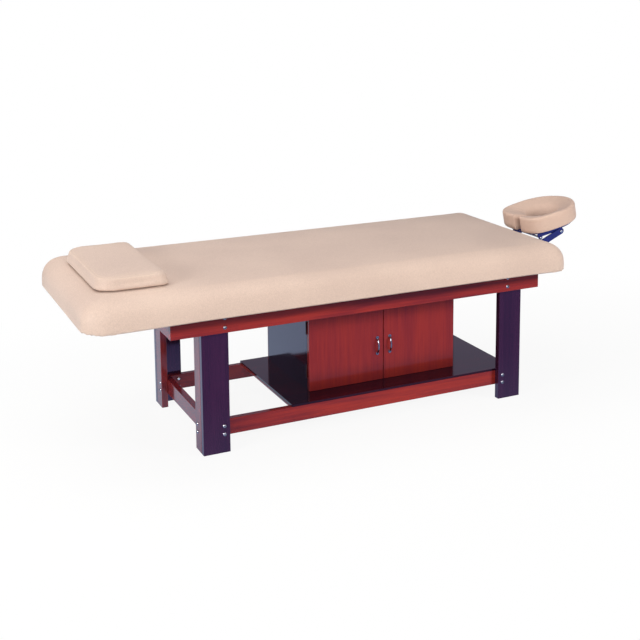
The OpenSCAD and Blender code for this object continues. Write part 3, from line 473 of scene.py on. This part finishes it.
ALONG, UPRIGHT, ACROSS = (0, 0, 0), (0, 90, 0), (0, 0, 90)
RED_TINT = (0.70, 0.62, 0.72)
DARK_TINT = (0.70, 0.45, 0.85)
SHELF_TINT = (0.85, 0.45, 0.62)
red = {
    "dark": (0.13, 0.011, 0.016), "light": (0.34, 0.028, 0.014),
    "ior": 1.55, "tint": RED_TINT, "gloss": 0.12,
}
red_end = {**red, "ior": 1.7}
red_leg = {**red, "dark": (0.08, 0.010, 0.016), "light": (0.22, 0.022, 0.020), "ior": 1.72}
wine = {
    "dark": (0.014, 0.004, 0.014), "light": (0.036, 0.008, 0.026),
    "ior": 1.75, "tint": DARK_TINT, "gloss": 0.09,
}
wine_shelf = {
    **wine, "dark": (0.002, 0.002, 0.007), "light": (0.036, 0.004, 0.010),
    "ior": 1.55, "tint": SHELF_TINT,
}
wine_side = {**wine, "dark": (0.003, 0.003, 0.009), "light": (0.010, 0.004, 0.013), "gloss": 0.11}
panel = {
    "dark": (0.15, 0.013, 0.022), "light": (0.34, 0.030, 0.017),
    "ior": 1.5, "tint": RED_TINT, "gloss": 0.1, "contrast": 0.5,
}
pine = {"dark": (0.42, 0.25, 0.12), "light": (0.62, 0.43, 0.25), "ior": 1.45, "gloss": 0.5}
ply = {**pine, "dark": (0.46, 0.30, 0.16), "light": (0.60, 0.44, 0.27)}
# Painted shade: the aprons darken under the pad's overhang, and the doors at their tops and feet
apron_painted_shade = (0.0, 0.01, 0.458, 0.486, 1.0, 0.36)
door_painted_shade = (0.12, 0.21, 0.34, 0.43, 0.6, 0.55)

red_along = timber("red lacquered timber, long boards", ALONG, **red)
red_apron = timber("red lacquered timber, aprons", ALONG, **red, edges=apron_painted_shade)
red_across = timber("red lacquered timber, end boards", ACROSS, **red_end)
red_legs = timber("red lacquered timber, leg sides", UPRIGHT, **red_leg)
wine_upright = timber("dark lacquered timber, upright boards", UPRIGHT, **wine)
shelf_top = timber("dark lacquered panel, along", ALONG, **wine_shelf)
panel_side = timber("cabinet side, upright", UPRIGHT, **wine_side)
panel_upright = timber("cabinet panel, upright", UPRIGHT, **panel, edges=door_painted_shade)
panel_along = timber("cabinet panel, along", ALONG, **panel)
pine_across = timber("plain timber, across", ACROSS, **pine)
ply_along = timber("plywood, along", ALONG, **ply)
hardboard = timber("back panel", ALONG, **{**panel, "gloss": 0.3})

bed_tones = {"light": (0.69, 0.522, 0.435), "deep": (0.625, 0.468, 0.392)}
cushion_tones = {"light": (0.69, 0.49, 0.395), "deep": (0.62, 0.435, 0.355)}
plain_cover = cover_cloth("cover cloth", **bed_tones)
sewn_cover = cover_cloth("cover cloth with seams", **bed_tones, seams=True)
cushion_cover = cover_cloth("cover cloth, face cushion", **cushion_tones)

plated = {"metallic": 1.0, "depth": 0.000002}
rough_steel = {"metallic": 1.0, "size": 1400.0, "depth": 0.000008}
chrome = finish_of("bright chrome", (0.80, 0.81, 0.83), 0.10, **plated)
nickel = finish_of("smoked nickel", (0.42, 0.42, 0.46), 0.13, **plated)
zinc = finish_of("zinc-plated steel", (0.60, 0.60, 0.58), 0.34, **rough_steel)
bronze = finish_of("bronzed steel", (0.10, 0.055, 0.050), 0.4, **rough_steel)
navy = finish_of("navy enamel", (0.012, 0.018, 0.150), 0.22, size=420.0, depth=0.00002, coat=0.4)
black_plastic = finish_of("black moulded plastic", (0.018, 0.018, 0.020), 0.45, size=1800.0, depth=0.00003)
white_plastic = finish_of("white moulded plastic", (0.72, 0.72, 0.70), 0.4, size=1800.0, depth=0.00002)
hook_tape = finish_of("hook tape", (0.015, 0.015, 0.017), 0.9, size=1100.0, depth=0.0006)


def dress(material, *names):
    for name in names:
        for slot in nodes[name].material_slots:
            slot.material = material


corners = ["front_foot", "front_head", "back_foot", "back_head"]
dress(wine_upright, *["leg_face_" + c for c in corners])
dress(red_legs, *["leg_side_" + c for c in corners])
dress(red_apron, "apron_front", "apron_back")
dress(red_along, "rail_front", "rail_back")
dress(red_across, "apron_foot", "apron_head", "rail_foot", "rail_head", "shelf_battens")
dress(shelf_top, "shelf_panel")
dress(pine_across, "pad_bearers")
dress(ply_along, "pad_board")
dress(panel_upright, "door_left", "door_right")
dress(panel_side, "cabinet_side_left", "cabinet_side_right")
dress(panel_along, "cabinet_floor", "cabinet_top", "inner_shelf")
dress(hardboard, "cabinet_back")
dress(nickel, "handle_left", "handle_right", "bolts")
dress(chrome, "dome_nuts", "cradle_posts")
dress(chrome, "lower_pivot_rod", "upper_pivot_bolts", "tie_rod")
dress(zinc, "pad_brackets", "shelf_pins", "socket_sleeves", "strike_left", "strike_right")
dress(bronze, "hinge_case_leaves", "hinge_door_leaves_left", "hinge_door_leaves_right")
dress(navy, "cradle_crossbar", "cradle_yoke", "arm_near", "arm_far", "arm_brace")
dress(navy, "cradle_platform", "side_brackets")
dress(black_plastic, "foot_glides", "lower_lever", "upper_lever")
dress(white_plastic, "magnet_catches")
dress(hook_tape, "hook_strips")


# Upholstery


def inflate(obj, held, pressure, frames):
    """Runs a cover as cloth under pressure, some of its points held, and keeps the result."""
    only(obj)
    cloth = obj.modifiers.new("filling", "CLOTH")
    cloth.point_cache.frame_start = 1
    cloth.point_cache.frame_end = frames
    group = obj.vertex_groups.new(name="held")
    group.add([int(i) for i in held], 1.0, "REPLACE")
    settings = cloth.settings
    settings.quality = 5
    settings.mass = 0.4
    settings.tension_stiffness = 18
    settings.compression_stiffness = 18
    settings.shear_stiffness = 8
    settings.bending_stiffness = 1.5
    settings.use_pressure = True
    settings.uniform_pressure_force = pressure
    settings.effector_weights.gravity = 0
    settings.vertex_group_mass = group.name
    for step in range(1, frames + 1):
        scene.frame_set(step)
    bpy.ops.object.modifier_apply(modifier=cloth.name)
    obj.vertex_groups.clear()
    scene.frame_set(1)


def stuff(obj, voxel, held_below, cap=0.0015):
    """Remeshes a cover and fills it, held at its foot; no point moves further than the cap."""
    modify(obj, "REMESH", mode="VOXEL", voxel_size=voxel)
    start = points_of(obj)
    inflate(obj, np.nonzero(start[:, 2] < held_below)[0], pressure=4.0, frames=20)
    moved = points_of(obj) - start
    length = np.maximum(np.linalg.norm(moved, axis=1, keepdims=True), TINY * TINY)
    set_points(obj, start + moved * (cap * np.tanh(length / cap) / length))
    modify(obj, "SUBSURF", levels=1, render_levels=1)
    only(obj)
    bpy.ops.object.shade_smooth()
    return obj


def held_to(obj, form, full, none):
    """Brings the lower points back onto the form that a cover started from, fading out upwards."""
    shares = 10
    group = obj.vertex_groups.new(name="held")
    share = np.clip((none - points_of(obj)[:, 2]) / (none - full), 0, 1)
    for step in range(1, shares + 1):
        near = np.nonzero(np.round(share * shares) == step)[0]
        group.add([int(i) for i in near], step / shares, "REPLACE")
    modify(obj, "SHRINKWRAP", target=form, vertex_group="held", wrap_method="NEAREST_SURFACEPOINT")
    obj.vertex_groups.clear()
    drop(form)
    return obj


def drawn_in(obj, steps, corner):
    """Draws the top face in and up, step by step; past the corner's radius the outline is scaled."""
    low, high = points_of(obj).min(0), points_of(obj).max(0)
    middle, half = (low + high) / 2, (high - low) / 2
    least_radius = 0.004

    def work():
        gone = 0.0
        for inset, rise in steps:
            if gone + inset < corner - least_radius:
                bpy.ops.mesh.inset(thickness=inset, depth=rise)
            else:
                size = [(half[k] - gone - inset) / (half[k] - gone) for k in (0, 1)]
                bpy.ops.mesh.extrude_region_move(TRANSFORM_OT_translate={"value": (0, 0, rise)})
                bpy.ops.transform.resize(value=(*size, 1), center_override=tuple(middle))
            gone += inset

    return in_edit(obj, "faces", lambda f: f.normal.z > 0.9, work)


def edge_steps(reach_in, height, count=10):
    """Insets and rises of an elliptical edge."""
    turns = [math.radians(90 * i / count) for i in range(count + 1)]
    return [
        (reach_in * (math.cos(a) - math.cos(b)), height * (math.sin(b) - math.sin(a)))
        for a, b in zip(turns[:-1], turns[1:])
    ]


def fit_to(obj, low, high):
    """Scales a piece axis by axis so that it fills its box."""
    co = points_of(obj)
    least, most = co.min(0), co.max(0)
    low, high = np.array(low), np.array(high)
    set_points(obj, low + (co - least) * (high - low) / (most - least))
    return obj


def bowed(obj, depth):
    """Draws the sides in between the corners, least at the foot."""
    full_from, keep_top = 0.8, 8
    co = points_of(obj)
    low, high = co.min(0), co.max(0)
    part = (co - (low + high) / 2) / ((high - low) / 2)
    upper = np.clip((part[:, 2] + 1) / full_from, 0, 1)
    for along, aside in ((0, 1), (1, 0)):
        bow = upper * np.cos(part[:, along] * math.pi / 2) ** 2 * np.abs(part[:, aside]) ** keep_top
        co[:, aside] -= depth * np.sign(part[:, aside]) * bow
    set_points(obj, co)
    return obj


def sagged_rim(obj, depth, width, corner):
    """Lets the filling bulge below the board along the outline, most where the timber ends."""
    carried, fade, rise, least_share = 0.10, 0.25, 0.03, 0.2
    co = points_of(obj)
    low, high = co.min(0), co.max(0)
    gap = np.minimum(co - low, high - co)[:, :2]
    short = np.clip(corner - gap, 0, None)
    in_corner = corner - np.hypot(short[:, 0], short[:, 1])
    inside = np.where(short.min(1) > 0, in_corner, gap.min(1))
    bulge = np.cos(np.clip((inside - width / 3) / (width * 2 / 3), 0, 1) * math.pi / 2) ** 2
    timber_low, timber_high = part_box("apron_front")
    beyond = np.maximum(timber_low.x + carried - co[:, 0], co[:, 0] - timber_high.x + carried)
    bulge *= least_share + (1 - least_share) * np.clip(beyond / fade, 0, 1)
    co[:, 2] -= depth * bulge * np.clip((low[2] + rise - co[:, 2]) / rise, 0, 1)
    set_points(obj, co)
    return obj


def rounded_loop(low, high, radius, z, steps=12):
    """Points of a rectangle with round corners at one height."""
    middles = [
        (high[0] - radius, high[1] - radius), (low[0] + radius, high[1] - radius),
        (low[0] + radius, low[1] + radius), (high[0] - radius, low[1] + radius),
    ]
    loop = []
    for k, (x, y) in enumerate(middles):
        for i in range(steps + 1):
            a = math.radians(90 * (k + i / steps))
            loop.append((x + radius * math.cos(a), y + radius * math.sin(a), z))
    return loop


def on_surface(obj, loop):
    """Moves the points of a loop to the nearest places on a piece."""
    return [tuple(obj.closest_point_on_mesh(Vector(p))[1]) for p in loop]


def add_seam(obj, loop, reach=0.012):
    """Stores each point's distance to a closed seam and the run along it."""
    co = points_of(obj)
    distance = np.full(len(co), 1.0)
    run = np.zeros(len(co))
    closed = np.array([*loop, loop[0]])
    lengths = np.linalg.norm(np.diff(closed, axis=0), axis=1)
    starts = np.cumsum(lengths) - lengths
    for a, b, size, start in zip(closed[:-1], closed[1:], lengths, starts):
        near = np.nonzero(np.all(np.abs(co - (a + b) / 2) < size / 2 + reach, axis=1))[0]
        if size < TINY or not len(near):
            continue
        t = np.clip(((co[near] - a) @ (b - a)) / size**2, 0, 1)
        gap = np.linalg.norm(co[near] - (a + t[:, None] * (b - a)), axis=1)
        closer = gap < distance[near]
        distance[near[closer]] = gap[closer]
        run[near[closer]] = start + t[closer] * size
    for label, values in (("seam_distance", distance), ("seam_run", run)):
        attribute = obj.data.attributes.new(label, "FLOAT", "POINT")
        attribute.data.foreach_set("value", values.astype(np.float32))
    return obj


def covered(obj, material, node, body):
    """Gives a cover its cloth and puts it in the place of its plain solid."""
    obj.data.materials.append(material)
    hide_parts(node)
    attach(obj, body)
    return obj


def make_mattress():
    low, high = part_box("pad")
    board_low, board_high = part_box("pad_board")
    edge_high, edge_in, corner, front_corner = 0.070, 0.090, 0.068, 0.086
    inset, foot_round, bow = 0.001, 0.003, 0.003
    crown = [(0.04, 0.0016), (0.06, 0.0009), (0.08, 0.0005)]
    shoulder = high.z - sum(rise for _, rise in crown) - edge_high
    obj = block(
        "mattress", (low.x + inset, low.y + inset, low.z), (high.x - inset, high.y - inset, shoulder)
    )

    def at_front_foot(edge):
        x, y = edge.verts[0].co.xy
        return upright(edge) and x < 0 and y < 0

    bevel_edges(obj, at_front_foot, front_corner, 10)
    bevel_edges(obj, lambda e: upright(e) and between_square_faces(e), corner, 10)
    drawn_in(obj, edge_steps(edge_in, edge_high) + crown, corner)
    bevel_edges(obj, level_at(low.z), foot_round, 2)
    form = copy_to(obj, "mattress_form", Matrix())
    stuff(obj, voxel=0.013, held_below=low.z + 0.014)
    held_to(obj, form, full=low.z + 0.020, none=low.z + 0.060)
    bowed(obj, bow)
    swell = Vector((0.0015, 0.002, 0))
    fit_to(obj, low - swell, high + swell)
    sagged_rim(obj, depth=0.004, width=0.024, corner=0.074)
    gap, below, board_corner = 0.0004, 0.02, 0.066
    board = block(
        "board_space",
        (board_low.x - gap, board_low.y - gap, low.z - below),
        (board_high.x + gap, board_high.y + gap, board_high.z + gap),
    )
    bevel_edges(board, upright, board_corner, 10)
    cut_out(obj, board)
    smooth(obj, 50)
    return covered(obj, plain_cover, "pad", "base")


def make_pillow():
    low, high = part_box("pillow")
    edge_high, edge_in, lean, corner, head_corner = 0.016, 0.013, 0.005, 0.068, 0.032
    inset, foot_high, bow, fuller = 0.003, 0.008, 0.004, 0.004
    crown = [(0.02, 0.0012), (0.03, 0.0010), (0.03, 0.0008)]
    high.z += fuller
    middle = (low.x + high.x) / 2
    foot = low.z + foot_high
    shoulder = high.z - sum(rise for _, rise in crown) - edge_high
    obj = block(
        "pillow_cover", (low.x + inset, low.y + inset, low.z), (high.x - inset, high.y - inset, foot)
    )
    bevel_edges(obj, lambda e: upright(e) and e.verts[0].co.x < middle, corner, 8)
    bevel_edges(obj, lambda e: upright(e) and e.verts[0].co.x > high.x - 2 * inset, head_corner, 6)
    drawn_in(obj, [(lean, shoulder - foot)] + edge_steps(edge_in, edge_high, 5) + crown, 0)
    stuff(obj, voxel=0.005, held_below=low.z + 0.004)
    bowed(obj, bow)
    fit_to(obj, low, high)
    seam_in, seam_down, seam_corner = lean + 0.009, 0.006, corner - 0.006
    seam = rounded_loop(
        (low.x + seam_in, low.y + seam_in), (high.x - seam_in, high.y - seam_in),
        seam_corner, high.z - seam_down,
    )
    add_seam(obj, on_surface(obj, seam))
    return covered(obj, sewn_cover, "pillow", "pillow")


# Face cushion: half its length and width, its ring, its thickness, and the slit between its tips
CUSHION_HALF = (0.146, 0.138)
CUSHION_RING = 0.084
CUSHION_THICK = 0.072
CUSHION_SLIT = 0.008
# Drop of its top from the rim to the opening
CUSHION_DISH = 0.028
# Middle of the cushion's ring on its narrow side
CUSHION_PATH = CUSHION_HALF[1] - CUSHION_RING / 2
# Half the turn that the spun ring leaves open at the tips
HALF_OPEN = math.radians(6)
# From the upper pivot to the middle of the cushion's foot, back along the platform and up
PIVOT_TO_CUSHION = (-0.0135, 0, 0.028)


def cushion_section():
    """Section of the ring on the narrow side: the rim outside, the dish's edge inside."""
    thin, half = 0.0005, CUSHION_RING / 2
    obj = block(
        "face_cushion", (CUSHION_PATH - half, -thin, 0), (CUSHION_PATH + half, thin, CUSHION_THICK)
    )
    in_edit(obj, "faces", lambda f: f.normal.y < 0.5, lambda: bpy.ops.mesh.delete(type="FACE"))

    def at_top(vertex, side):
        return vertex.co.z > CUSHION_THICK / 4 and side * (vertex.co.x - CUSHION_PATH) > 0

    in_edit(
        obj, "verts", lambda v: at_top(v, -1),
        lambda: bpy.ops.transform.translate(value=(0, 0, -CUSHION_DISH)),
    )
    for test, radius, segments in (
        (lambda v: at_top(v, 1), 0.013, 5),
        (lambda v: at_top(v, -1), 0.023, 5),
        (lambda v: v.co.z < TINY, 0.009, 3),
    ):
        in_edit(
            obj, "verts", test,
            lambda: bpy.ops.mesh.bevel(offset=radius, segments=segments, affect="VERTICES"),
        )
    return obj


def spin_ring(obj):
    """Spins the section round the face opening, from one tip to the other."""
    obj.data.transform(Matrix.Rotation(HALF_OPEN - math.pi, 4, "Z"))
    in_edit(
        obj, "faces", lambda f: True,
        lambda: bpy.ops.mesh.spin(
            steps=72, angle=2 * (math.pi - HALF_OPEN), center=(0, 0, 0), axis=(0, 0, 1), use_auto_merge=False
        ),
    )
    in_edit(obj, "verts", lambda v: True, lambda: bpy.ops.mesh.remove_doubles(threshold=TINY))
    in_edit(obj, "faces", lambda f: True, lambda: bpy.ops.mesh.normals_make_consistent(inside=False))
    return obj


def outline_reach(half, power, angle):
    """Distance from the middle to an outline, an ellipse at power 2."""
    along, across = np.abs(np.cos(angle) / half[0]), np.abs(np.sin(angle) / half[1])
    return (along**power + across**power) ** (-1 / power)


def shape_outline(obj):
    """Brings the round ring to the cushion's outline, blunt at its two tips beside the slit."""
    co = points_of(obj)
    angle = np.arctan2(co[:, 1], co[:, 0]) * math.pi / (math.pi - HALF_OPEN)
    share = (np.hypot(co[:, 0], co[:, 1]) - CUSHION_PATH) / CUSHION_RING + 0.5
    power = np.where(np.cos(angle) < 0, 3.75, 2.0)
    outer = outline_reach(CUSHION_HALF, power, angle)
    inner = outline_reach([half - CUSHION_RING for half in CUSHION_HALF], 2.0, angle)
    reach = inner + (outer - inner) * share
    across = reach * np.sin(angle)
    near_tips = (1 - np.cos(angle)) / 2 * (1 - np.abs(across) / CUSHION_HALF[1])
    across += np.sign(angle) * CUSHION_SLIT / 2 * near_tips
    set_points(obj, np.column_stack([reach * np.cos(angle), across, co[:, 2]]))
    return obj


def on_platform(obj):
    """Moves what is modelled flat round the cushion's middle onto the tilted platform."""
    up = joints["cushion_lift"]["axis"]
    place = (
        Matrix.Translation(joints["platform_tilt"]["pos_m"])
        @ Matrix.Rotation(math.atan2(up[0], up[2]), 4, "Y")
        @ Matrix.Translation(PIVOT_TO_CUSHION)
    )
    obj.data.transform(place)
    return obj


def make_face_cushion():
    obj = shape_outline(spin_ring(cushion_section()))
    tip_round, before_filling = 0.013, (0.985, 0.985, 1.0)
    bevel_edges(obj, lambda e: any(len(f.verts) > 6 for f in e.link_faces), tip_round, 4)
    set_points(obj, points_of(obj) * before_filling)
    stuff(obj, voxel=0.0045, held_below=0.004)
    half_along, half_across = CUSHION_HALF
    end_room, top_room = 0.003, 0.002
    fit_to(
        obj, (-half_along, -half_across, 0), (half_along - end_room, half_across, CUSHION_THICK - top_room)
    )
    on_platform(obj)
    return covered(obj, cushion_cover, "cradle_cushion", "cushion")


make_face_cushion()
make_mattress()
make_pillow()


# Small fixings


def screw_head(radius, height):
    """A domed head with a cross, its axis along Z, its seat at the origin."""
    head = disc("screw", radius, height, (0, 0, height / 2))
    bevel_edges(head, level_at(height), height * 0.6, 2)
    for across, along in ((0.6, 0.12), (0.12, 0.6)):
        x, y = radius * across, radius * along
        cut_out(head, block("cross", (-x, -y, height * 0.4), (x, y, height * 2)))
    return smooth(head, 35)


def placed_copies(name, piece, matrices, material, body):
    """Copies of a piece at many places, joined into one."""
    twins = [copy_to(piece, name, m) for m in matrices]
    drop(piece)
    obj = joined(name, twins)
    obj.data.materials.clear()
    obj.data.materials.append(material)
    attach(obj, body)
    return obj


def facing(axis, turn=0.0):
    """Turns what looks along Z to look along an axis."""
    return Vector(axis).to_track_quat("Z", "Y").to_matrix().to_4x4() @ Matrix.Rotation(turn, 4, "Z")


def patches_of(obj):
    """Points and look of each patch of faces that no edge joins to another patch."""
    co = points_of(obj)
    a, b = np.array([e.vertices[:] for e in obj.data.edges]).T
    label = np.arange(len(co))
    while True:
        before = label.copy()
        least = np.minimum(label[a], label[b])
        np.minimum.at(label, a, least)
        np.minimum.at(label, b, least)
        if (label == before).all():
            break
    looks = {label[f.vertices[0]]: f.normal.copy() for f in obj.data.polygons}
    return [(co[label == k], look) for k, look in looks.items()]


def make_socket_shade_discs():
    """Painted shade: a black disc in the hex socket of each bolt's head, one on each small flat hexagon."""
    wide, near, above = 0.006, 0.0004, 0.0006
    hexagon = (wide * math.sqrt(3) / 2, wide)
    spots = []
    for part, look in patches_of(nodes["bolts"]):
        size = np.sort(np.ptp(part, axis=0))
        if size[0] < TINY and np.allclose(size[1:], hexagon, rtol=0, atol=near):
            middle = Vector((part.max(0) + part.min(0)) / 2)
            spots.append(Matrix.Translation(middle + look * above) @ facing(look))
    # A black disc stands in for the shade deep in each socket
    ground = disc("socket_ground", wide * 0.43, 0.0004)
    return placed_copies("bolt_sockets", ground, spots, black_plastic, "base")


def make_bracket_screws():
    """Pairs of screws in both leaves of the angles under the board."""
    low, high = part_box("pad_brackets")
    plate, from_end, half_apart, from_bend = 0.003, 0.020, 0.010, 0.022
    spots = []
    for x in (low.x + from_end, (low.x + high.x) / 2, high.x - from_end):
        for side, edge in ((1, low.y), (-1, high.y)):
            for along in (x - half_apart, x + half_apart):
                on_timber = Matrix.Translation((along, edge + side * plate, high.z - from_bend))
                on_board = Matrix.Translation((along, edge + side * from_bend, high.z - plate))
                spots += [on_timber @ facing((0, side, 0), x), on_board @ facing((0, 0, -1), x)]
    head = screw_head(0.0036, 0.0020)
    return placed_copies("bracket_screws", head, spots, zinc, "base")


def make_back_nails():
    """Small nails round the edge of the cabinet's back."""
    low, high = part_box("cabinet_back")
    edge, pitch, radius, height = 0.008, 0.09, 0.0022, 0.0008
    across = np.linspace(low.x + edge, high.x - edge, round((high.x - low.x) / pitch) + 1)
    rising = np.linspace(low.z + edge, high.z - edge, round((high.z - low.z) / pitch) + 1)[1:-1]
    places = [(x, z) for x in across for z in (low.z + edge, high.z - edge)]
    places += [(x, z) for z in rising for x in (low.x + edge, high.x - edge)]
    nail = disc("nail", radius, height, (0, 0, height / 2), sides=16)
    bevel_edges(nail, level_at(height), height / 2, 2)
    spots = [Matrix.Translation((x, high.y, z)) @ facing((0, 1, 0)) for x, z in places]
    return smooth(placed_copies("back_nails", nail, spots, bronze, "base"))


def make_hem():
    """The cover's edge folded under the board."""
    low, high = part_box("pad")
    thick, outer, inner, outer_corner, inner_corner = 0.0012, 0.026, 0.056, 0.060, 0.030
    hem = block(
        "cover_hem",
        (low.x + outer, low.y + outer, low.z - thick), (high.x - outer, high.y - outer, low.z),
    )
    bevel_edges(hem, upright, outer_corner, 10)
    opening = block(
        "hem_opening",
        (low.x + inner, low.y + inner, low.z - 2 * thick), (high.x - inner, high.y - inner, low.z + thick),
    )
    bevel_edges(opening, upright, inner_corner, 8)
    cut_out(hem, opening)
    smooth(hem)
    hem.data.materials.append(plain_cover)
    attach(hem, "base")
    return make_staples((low.x, low.y), (high.x, high.y), low.z - thick)


def make_staples(low, high, z):
    """Staples along the middle of the folded edge."""
    from_edge, corner, first, pitch, look_ahead = 0.042, 0.044, 0.02, 0.058, 0.004
    inner_low, inner_high = [v + from_edge for v in low], [v - from_edge for v in high]
    loop = rounded_loop(inner_low, inner_high, corner, z)
    loop = np.array(loop + loop[:1])
    run = np.concatenate([[0], np.cumsum(np.linalg.norm(np.diff(loop, axis=0), axis=1))])

    def place_at(distance):
        return [np.interp(distance, run, loop[:, k]) for k in (0, 1)]

    spots = []
    for at in np.arange(first, run[-1], pitch):
        x, y = place_at(at)
        next_x, next_y = place_at(at + look_ahead)
        turn = Matrix.Rotation(math.atan2(next_y - y, next_x - x), 4, "Z")
        spots.append(Matrix.Translation((x, y, z)) @ turn)
    half_long, half_wire, down, into = 0.005, 0.0004, 0.0006, 0.0001
    staple = block("staple", (-half_long, -half_wire, -down), (half_long, half_wire, into))
    bevel_edges(staple, lambda e: min(v.co.z for v in e.verts) < TINY - down, half_wire / 2, 2)
    return smooth(placed_copies("hem_staples", staple, spots, zinc, "base"))


def make_hinge_screws():
    """Flush screws in the hinges' leaves, seen when the doors stand open."""
    sunk, proud, below, radius, from_edge = 0.00045, 0.00004, 0.0001, 0.0024, 0.008
    from_ends = (0.010, 0.040)
    left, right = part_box("door_left")[0].x + from_edge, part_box("door_right")[1].x - from_edge
    hinge_y = joints["door_left_swing"]["pos_m"][1]
    for node, body, columns, look in (
        ("hinge_door_leaves_left", "door_left", [left], 1),
        ("hinge_door_leaves_right", "door_right", [right], 1),
        ("hinge_case_leaves", "base", [left, right], -1),
    ):
        low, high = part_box(node)
        rows = [low.z + d for d in from_ends] + [high.z - d for d in from_ends]
        y = hinge_y - look * (below + sunk)
        spots = [Matrix.Translation((x, y, z)) @ facing((0, look, 0), z) for x in columns for z in rows]
        head = screw_head(radius, sunk + proud)
        placed_copies(node + "_screws", head, spots, zinc, body)


make_socket_shade_discs()
make_bracket_screws()
make_back_nails()
make_hem()
make_hinge_screws()


# Floor, light and camera

WHITE = (1.0, 1.0, 1.0)
LAMP_COLOUR = (1.0, 1.0, 0.975)


def mix_shaders(tree, factor, a, b, out):
    """Mixes two shaders into a tree's surface."""
    feed(tree, out.inputs["Surface"], add_node(tree, "ShaderNodeMixShader", {0: factor, 1: a, 2: b})[0])


def make_floor():
    """Pale floor that keeps a soft shadow and whitens outwards; in reflections it glows a painted blue, dark
    in front and pale behind.
    """
    bpy.ops.object.select_all(action="DESELECT")
    bpy.ops.mesh.primitive_plane_add(size=40, location=(0, 0, 0))
    floor = named("studio_floor")
    material, tree, shader, place = new_material("pale studio floor")
    feed_all(tree, shader, {"Base Color": (0.86, 0.86, 0.86), "Roughness": 0.9, "Specular IOR Level": 0.0})
    paths = add_node(tree, "ShaderNodeLightPath", {})
    narrowed = stretched(tree, place, (0.55, 1.0, 1.0))
    away = add_node(tree, "ShaderNodeVectorMath", {0: narrowed}, operation="LENGTH")["Value"]
    behind = ranged(tree, add_node(tree, "ShaderNodeSeparateXYZ", {0: place})["Y"], -0.9, 0.3)
    # Painted reflection: the colour the floor glows in glossy rays, dark blue in front of the bed and pale
    # blue behind it
    mirrored = mix_colour(tree, behind, (0.18, 0.24, 0.48), (0.62, 0.80, 1.0))
    by_eye = math_node(tree, "MULTIPLY", paths["Is Camera Ray"], ranged(tree, away, 0.5, 1.7, 0.91, 1.0))
    by_mirror = math_node(tree, "MULTIPLY", paths["Is Glossy Ray"], 0.95)
    seen = math_node(tree, "MAXIMUM", by_eye, by_mirror)
    seen = math_node(tree, "MAXIMUM", seen, paths["Is Transmission Ray"])
    colour = mix_colour(tree, paths["Is Glossy Ray"], WHITE, mirrored)
    glow = add_node(tree, "ShaderNodeEmission", {"Color": colour, "Strength": 1.0})[0]
    lit = tree.nodes["Principled BSDF"].outputs[0]
    mix_shaders(tree, seen, lit, glow, tree.nodes["Material Output"])
    floor.data.materials.append(material)


def make_world():
    """White to the eye, dim and violet in a mirror, and faint as a light."""
    world = bpy.data.worlds.new("studio")
    scene.world = world
    world.use_nodes = True
    tree = world.node_tree
    paths = add_node(tree, "ShaderNodeLightPath", {})
    seen = math_node(tree, "MAXIMUM", paths["Is Camera Ray"], paths["Is Glossy Ray"])
    seen = math_node(tree, "MAXIMUM", seen, paths["Is Transmission Ray"])
    soft = add_node(tree, "ShaderNodeBackground", {"Color": (1.0, 0.98, 0.98), "Strength": 0.04})[0]
    sky = mix_colour(tree, paths["Is Glossy Ray"], WHITE, (0.34, 0.32, 0.44))
    background = tree.nodes["Background"]
    feed_all(tree, background.inputs, {"Color": sky, "Strength": 1.0})
    mix_shaders(tree, seen, soft, background.outputs[0], tree.nodes["World Output"])


def lamp(name, place, aim, size, power, mirrored=True):
    """A softbox that the camera doesn't see, and polished pieces only where it is mirrored."""
    data = bpy.data.lights.new(name, "AREA")
    data.shape = "RECTANGLE"
    data.size, data.size_y = size
    data.energy = power
    data.color = LAMP_COLOUR
    obj = bpy.data.objects.new(name, data)
    scene.collection.objects.link(obj)
    obj.location = place
    obj.rotation_euler = (Vector(aim) - Vector(place)).to_track_quat("-Z", "Y").to_euler()
    obj.visible_camera = False
    obj.visible_glossy = mirrored


def make_camera():
    """The camera solved from the picture's lines, its picture centre shifted."""
    data = bpy.data.cameras.new("camera")
    data.lens = 62.81
    data.sensor_width = 36
    data.shift_x = -0.04307
    data.shift_y = -0.26005
    obj = bpy.data.objects.new("camera", data)
    scene.collection.objects.link(obj)
    yaw, pitch, roll = (math.radians(a) for a in (25.894, 8.704, -0.264))
    ahead = Vector((math.sin(yaw) * math.cos(pitch), math.cos(yaw) * math.cos(pitch), -math.sin(pitch)))
    level = Vector((math.cos(yaw), -math.sin(yaw), 0))
    above = level.cross(ahead)
    right = math.cos(roll) * level + math.sin(roll) * above
    up = -math.sin(roll) * level + math.cos(roll) * above
    turn = Matrix((right, up, -ahead)).transposed().to_4x4()
    obj.matrix_world = Matrix.Translation((-1.840220, -3.841147, 1.636137)) @ turn
    scene.camera = obj


make_floor()
make_world()
lamp("front softbox", (-1.3, -4.3, 2.7), (0.15, 0, 0.35), (3.0, 1.7), 84)
lamp("left softbox", (-4.4, -1.4, 1.5), (-0.9, 0, 0.5), (1.8, 1.4), 104)
lamp("right softbox", (3.2, -3.8, 1.8), (0.4, 0, 0.4), (2.0, 1.6), 134, mirrored=False)
lamp("overhead softbox", (0.2, -0.3, 3.4), (0.0, 0, 0.4), (3.0, 2.0), 32)
lamp("rear softbox", (-1.6, 0.6, 3.0), (-0.6, 0, 0.4), (2.0, 2.0), 44, mirrored=False)
make_camera()
scene.view_settings.view_transform = "Standard"
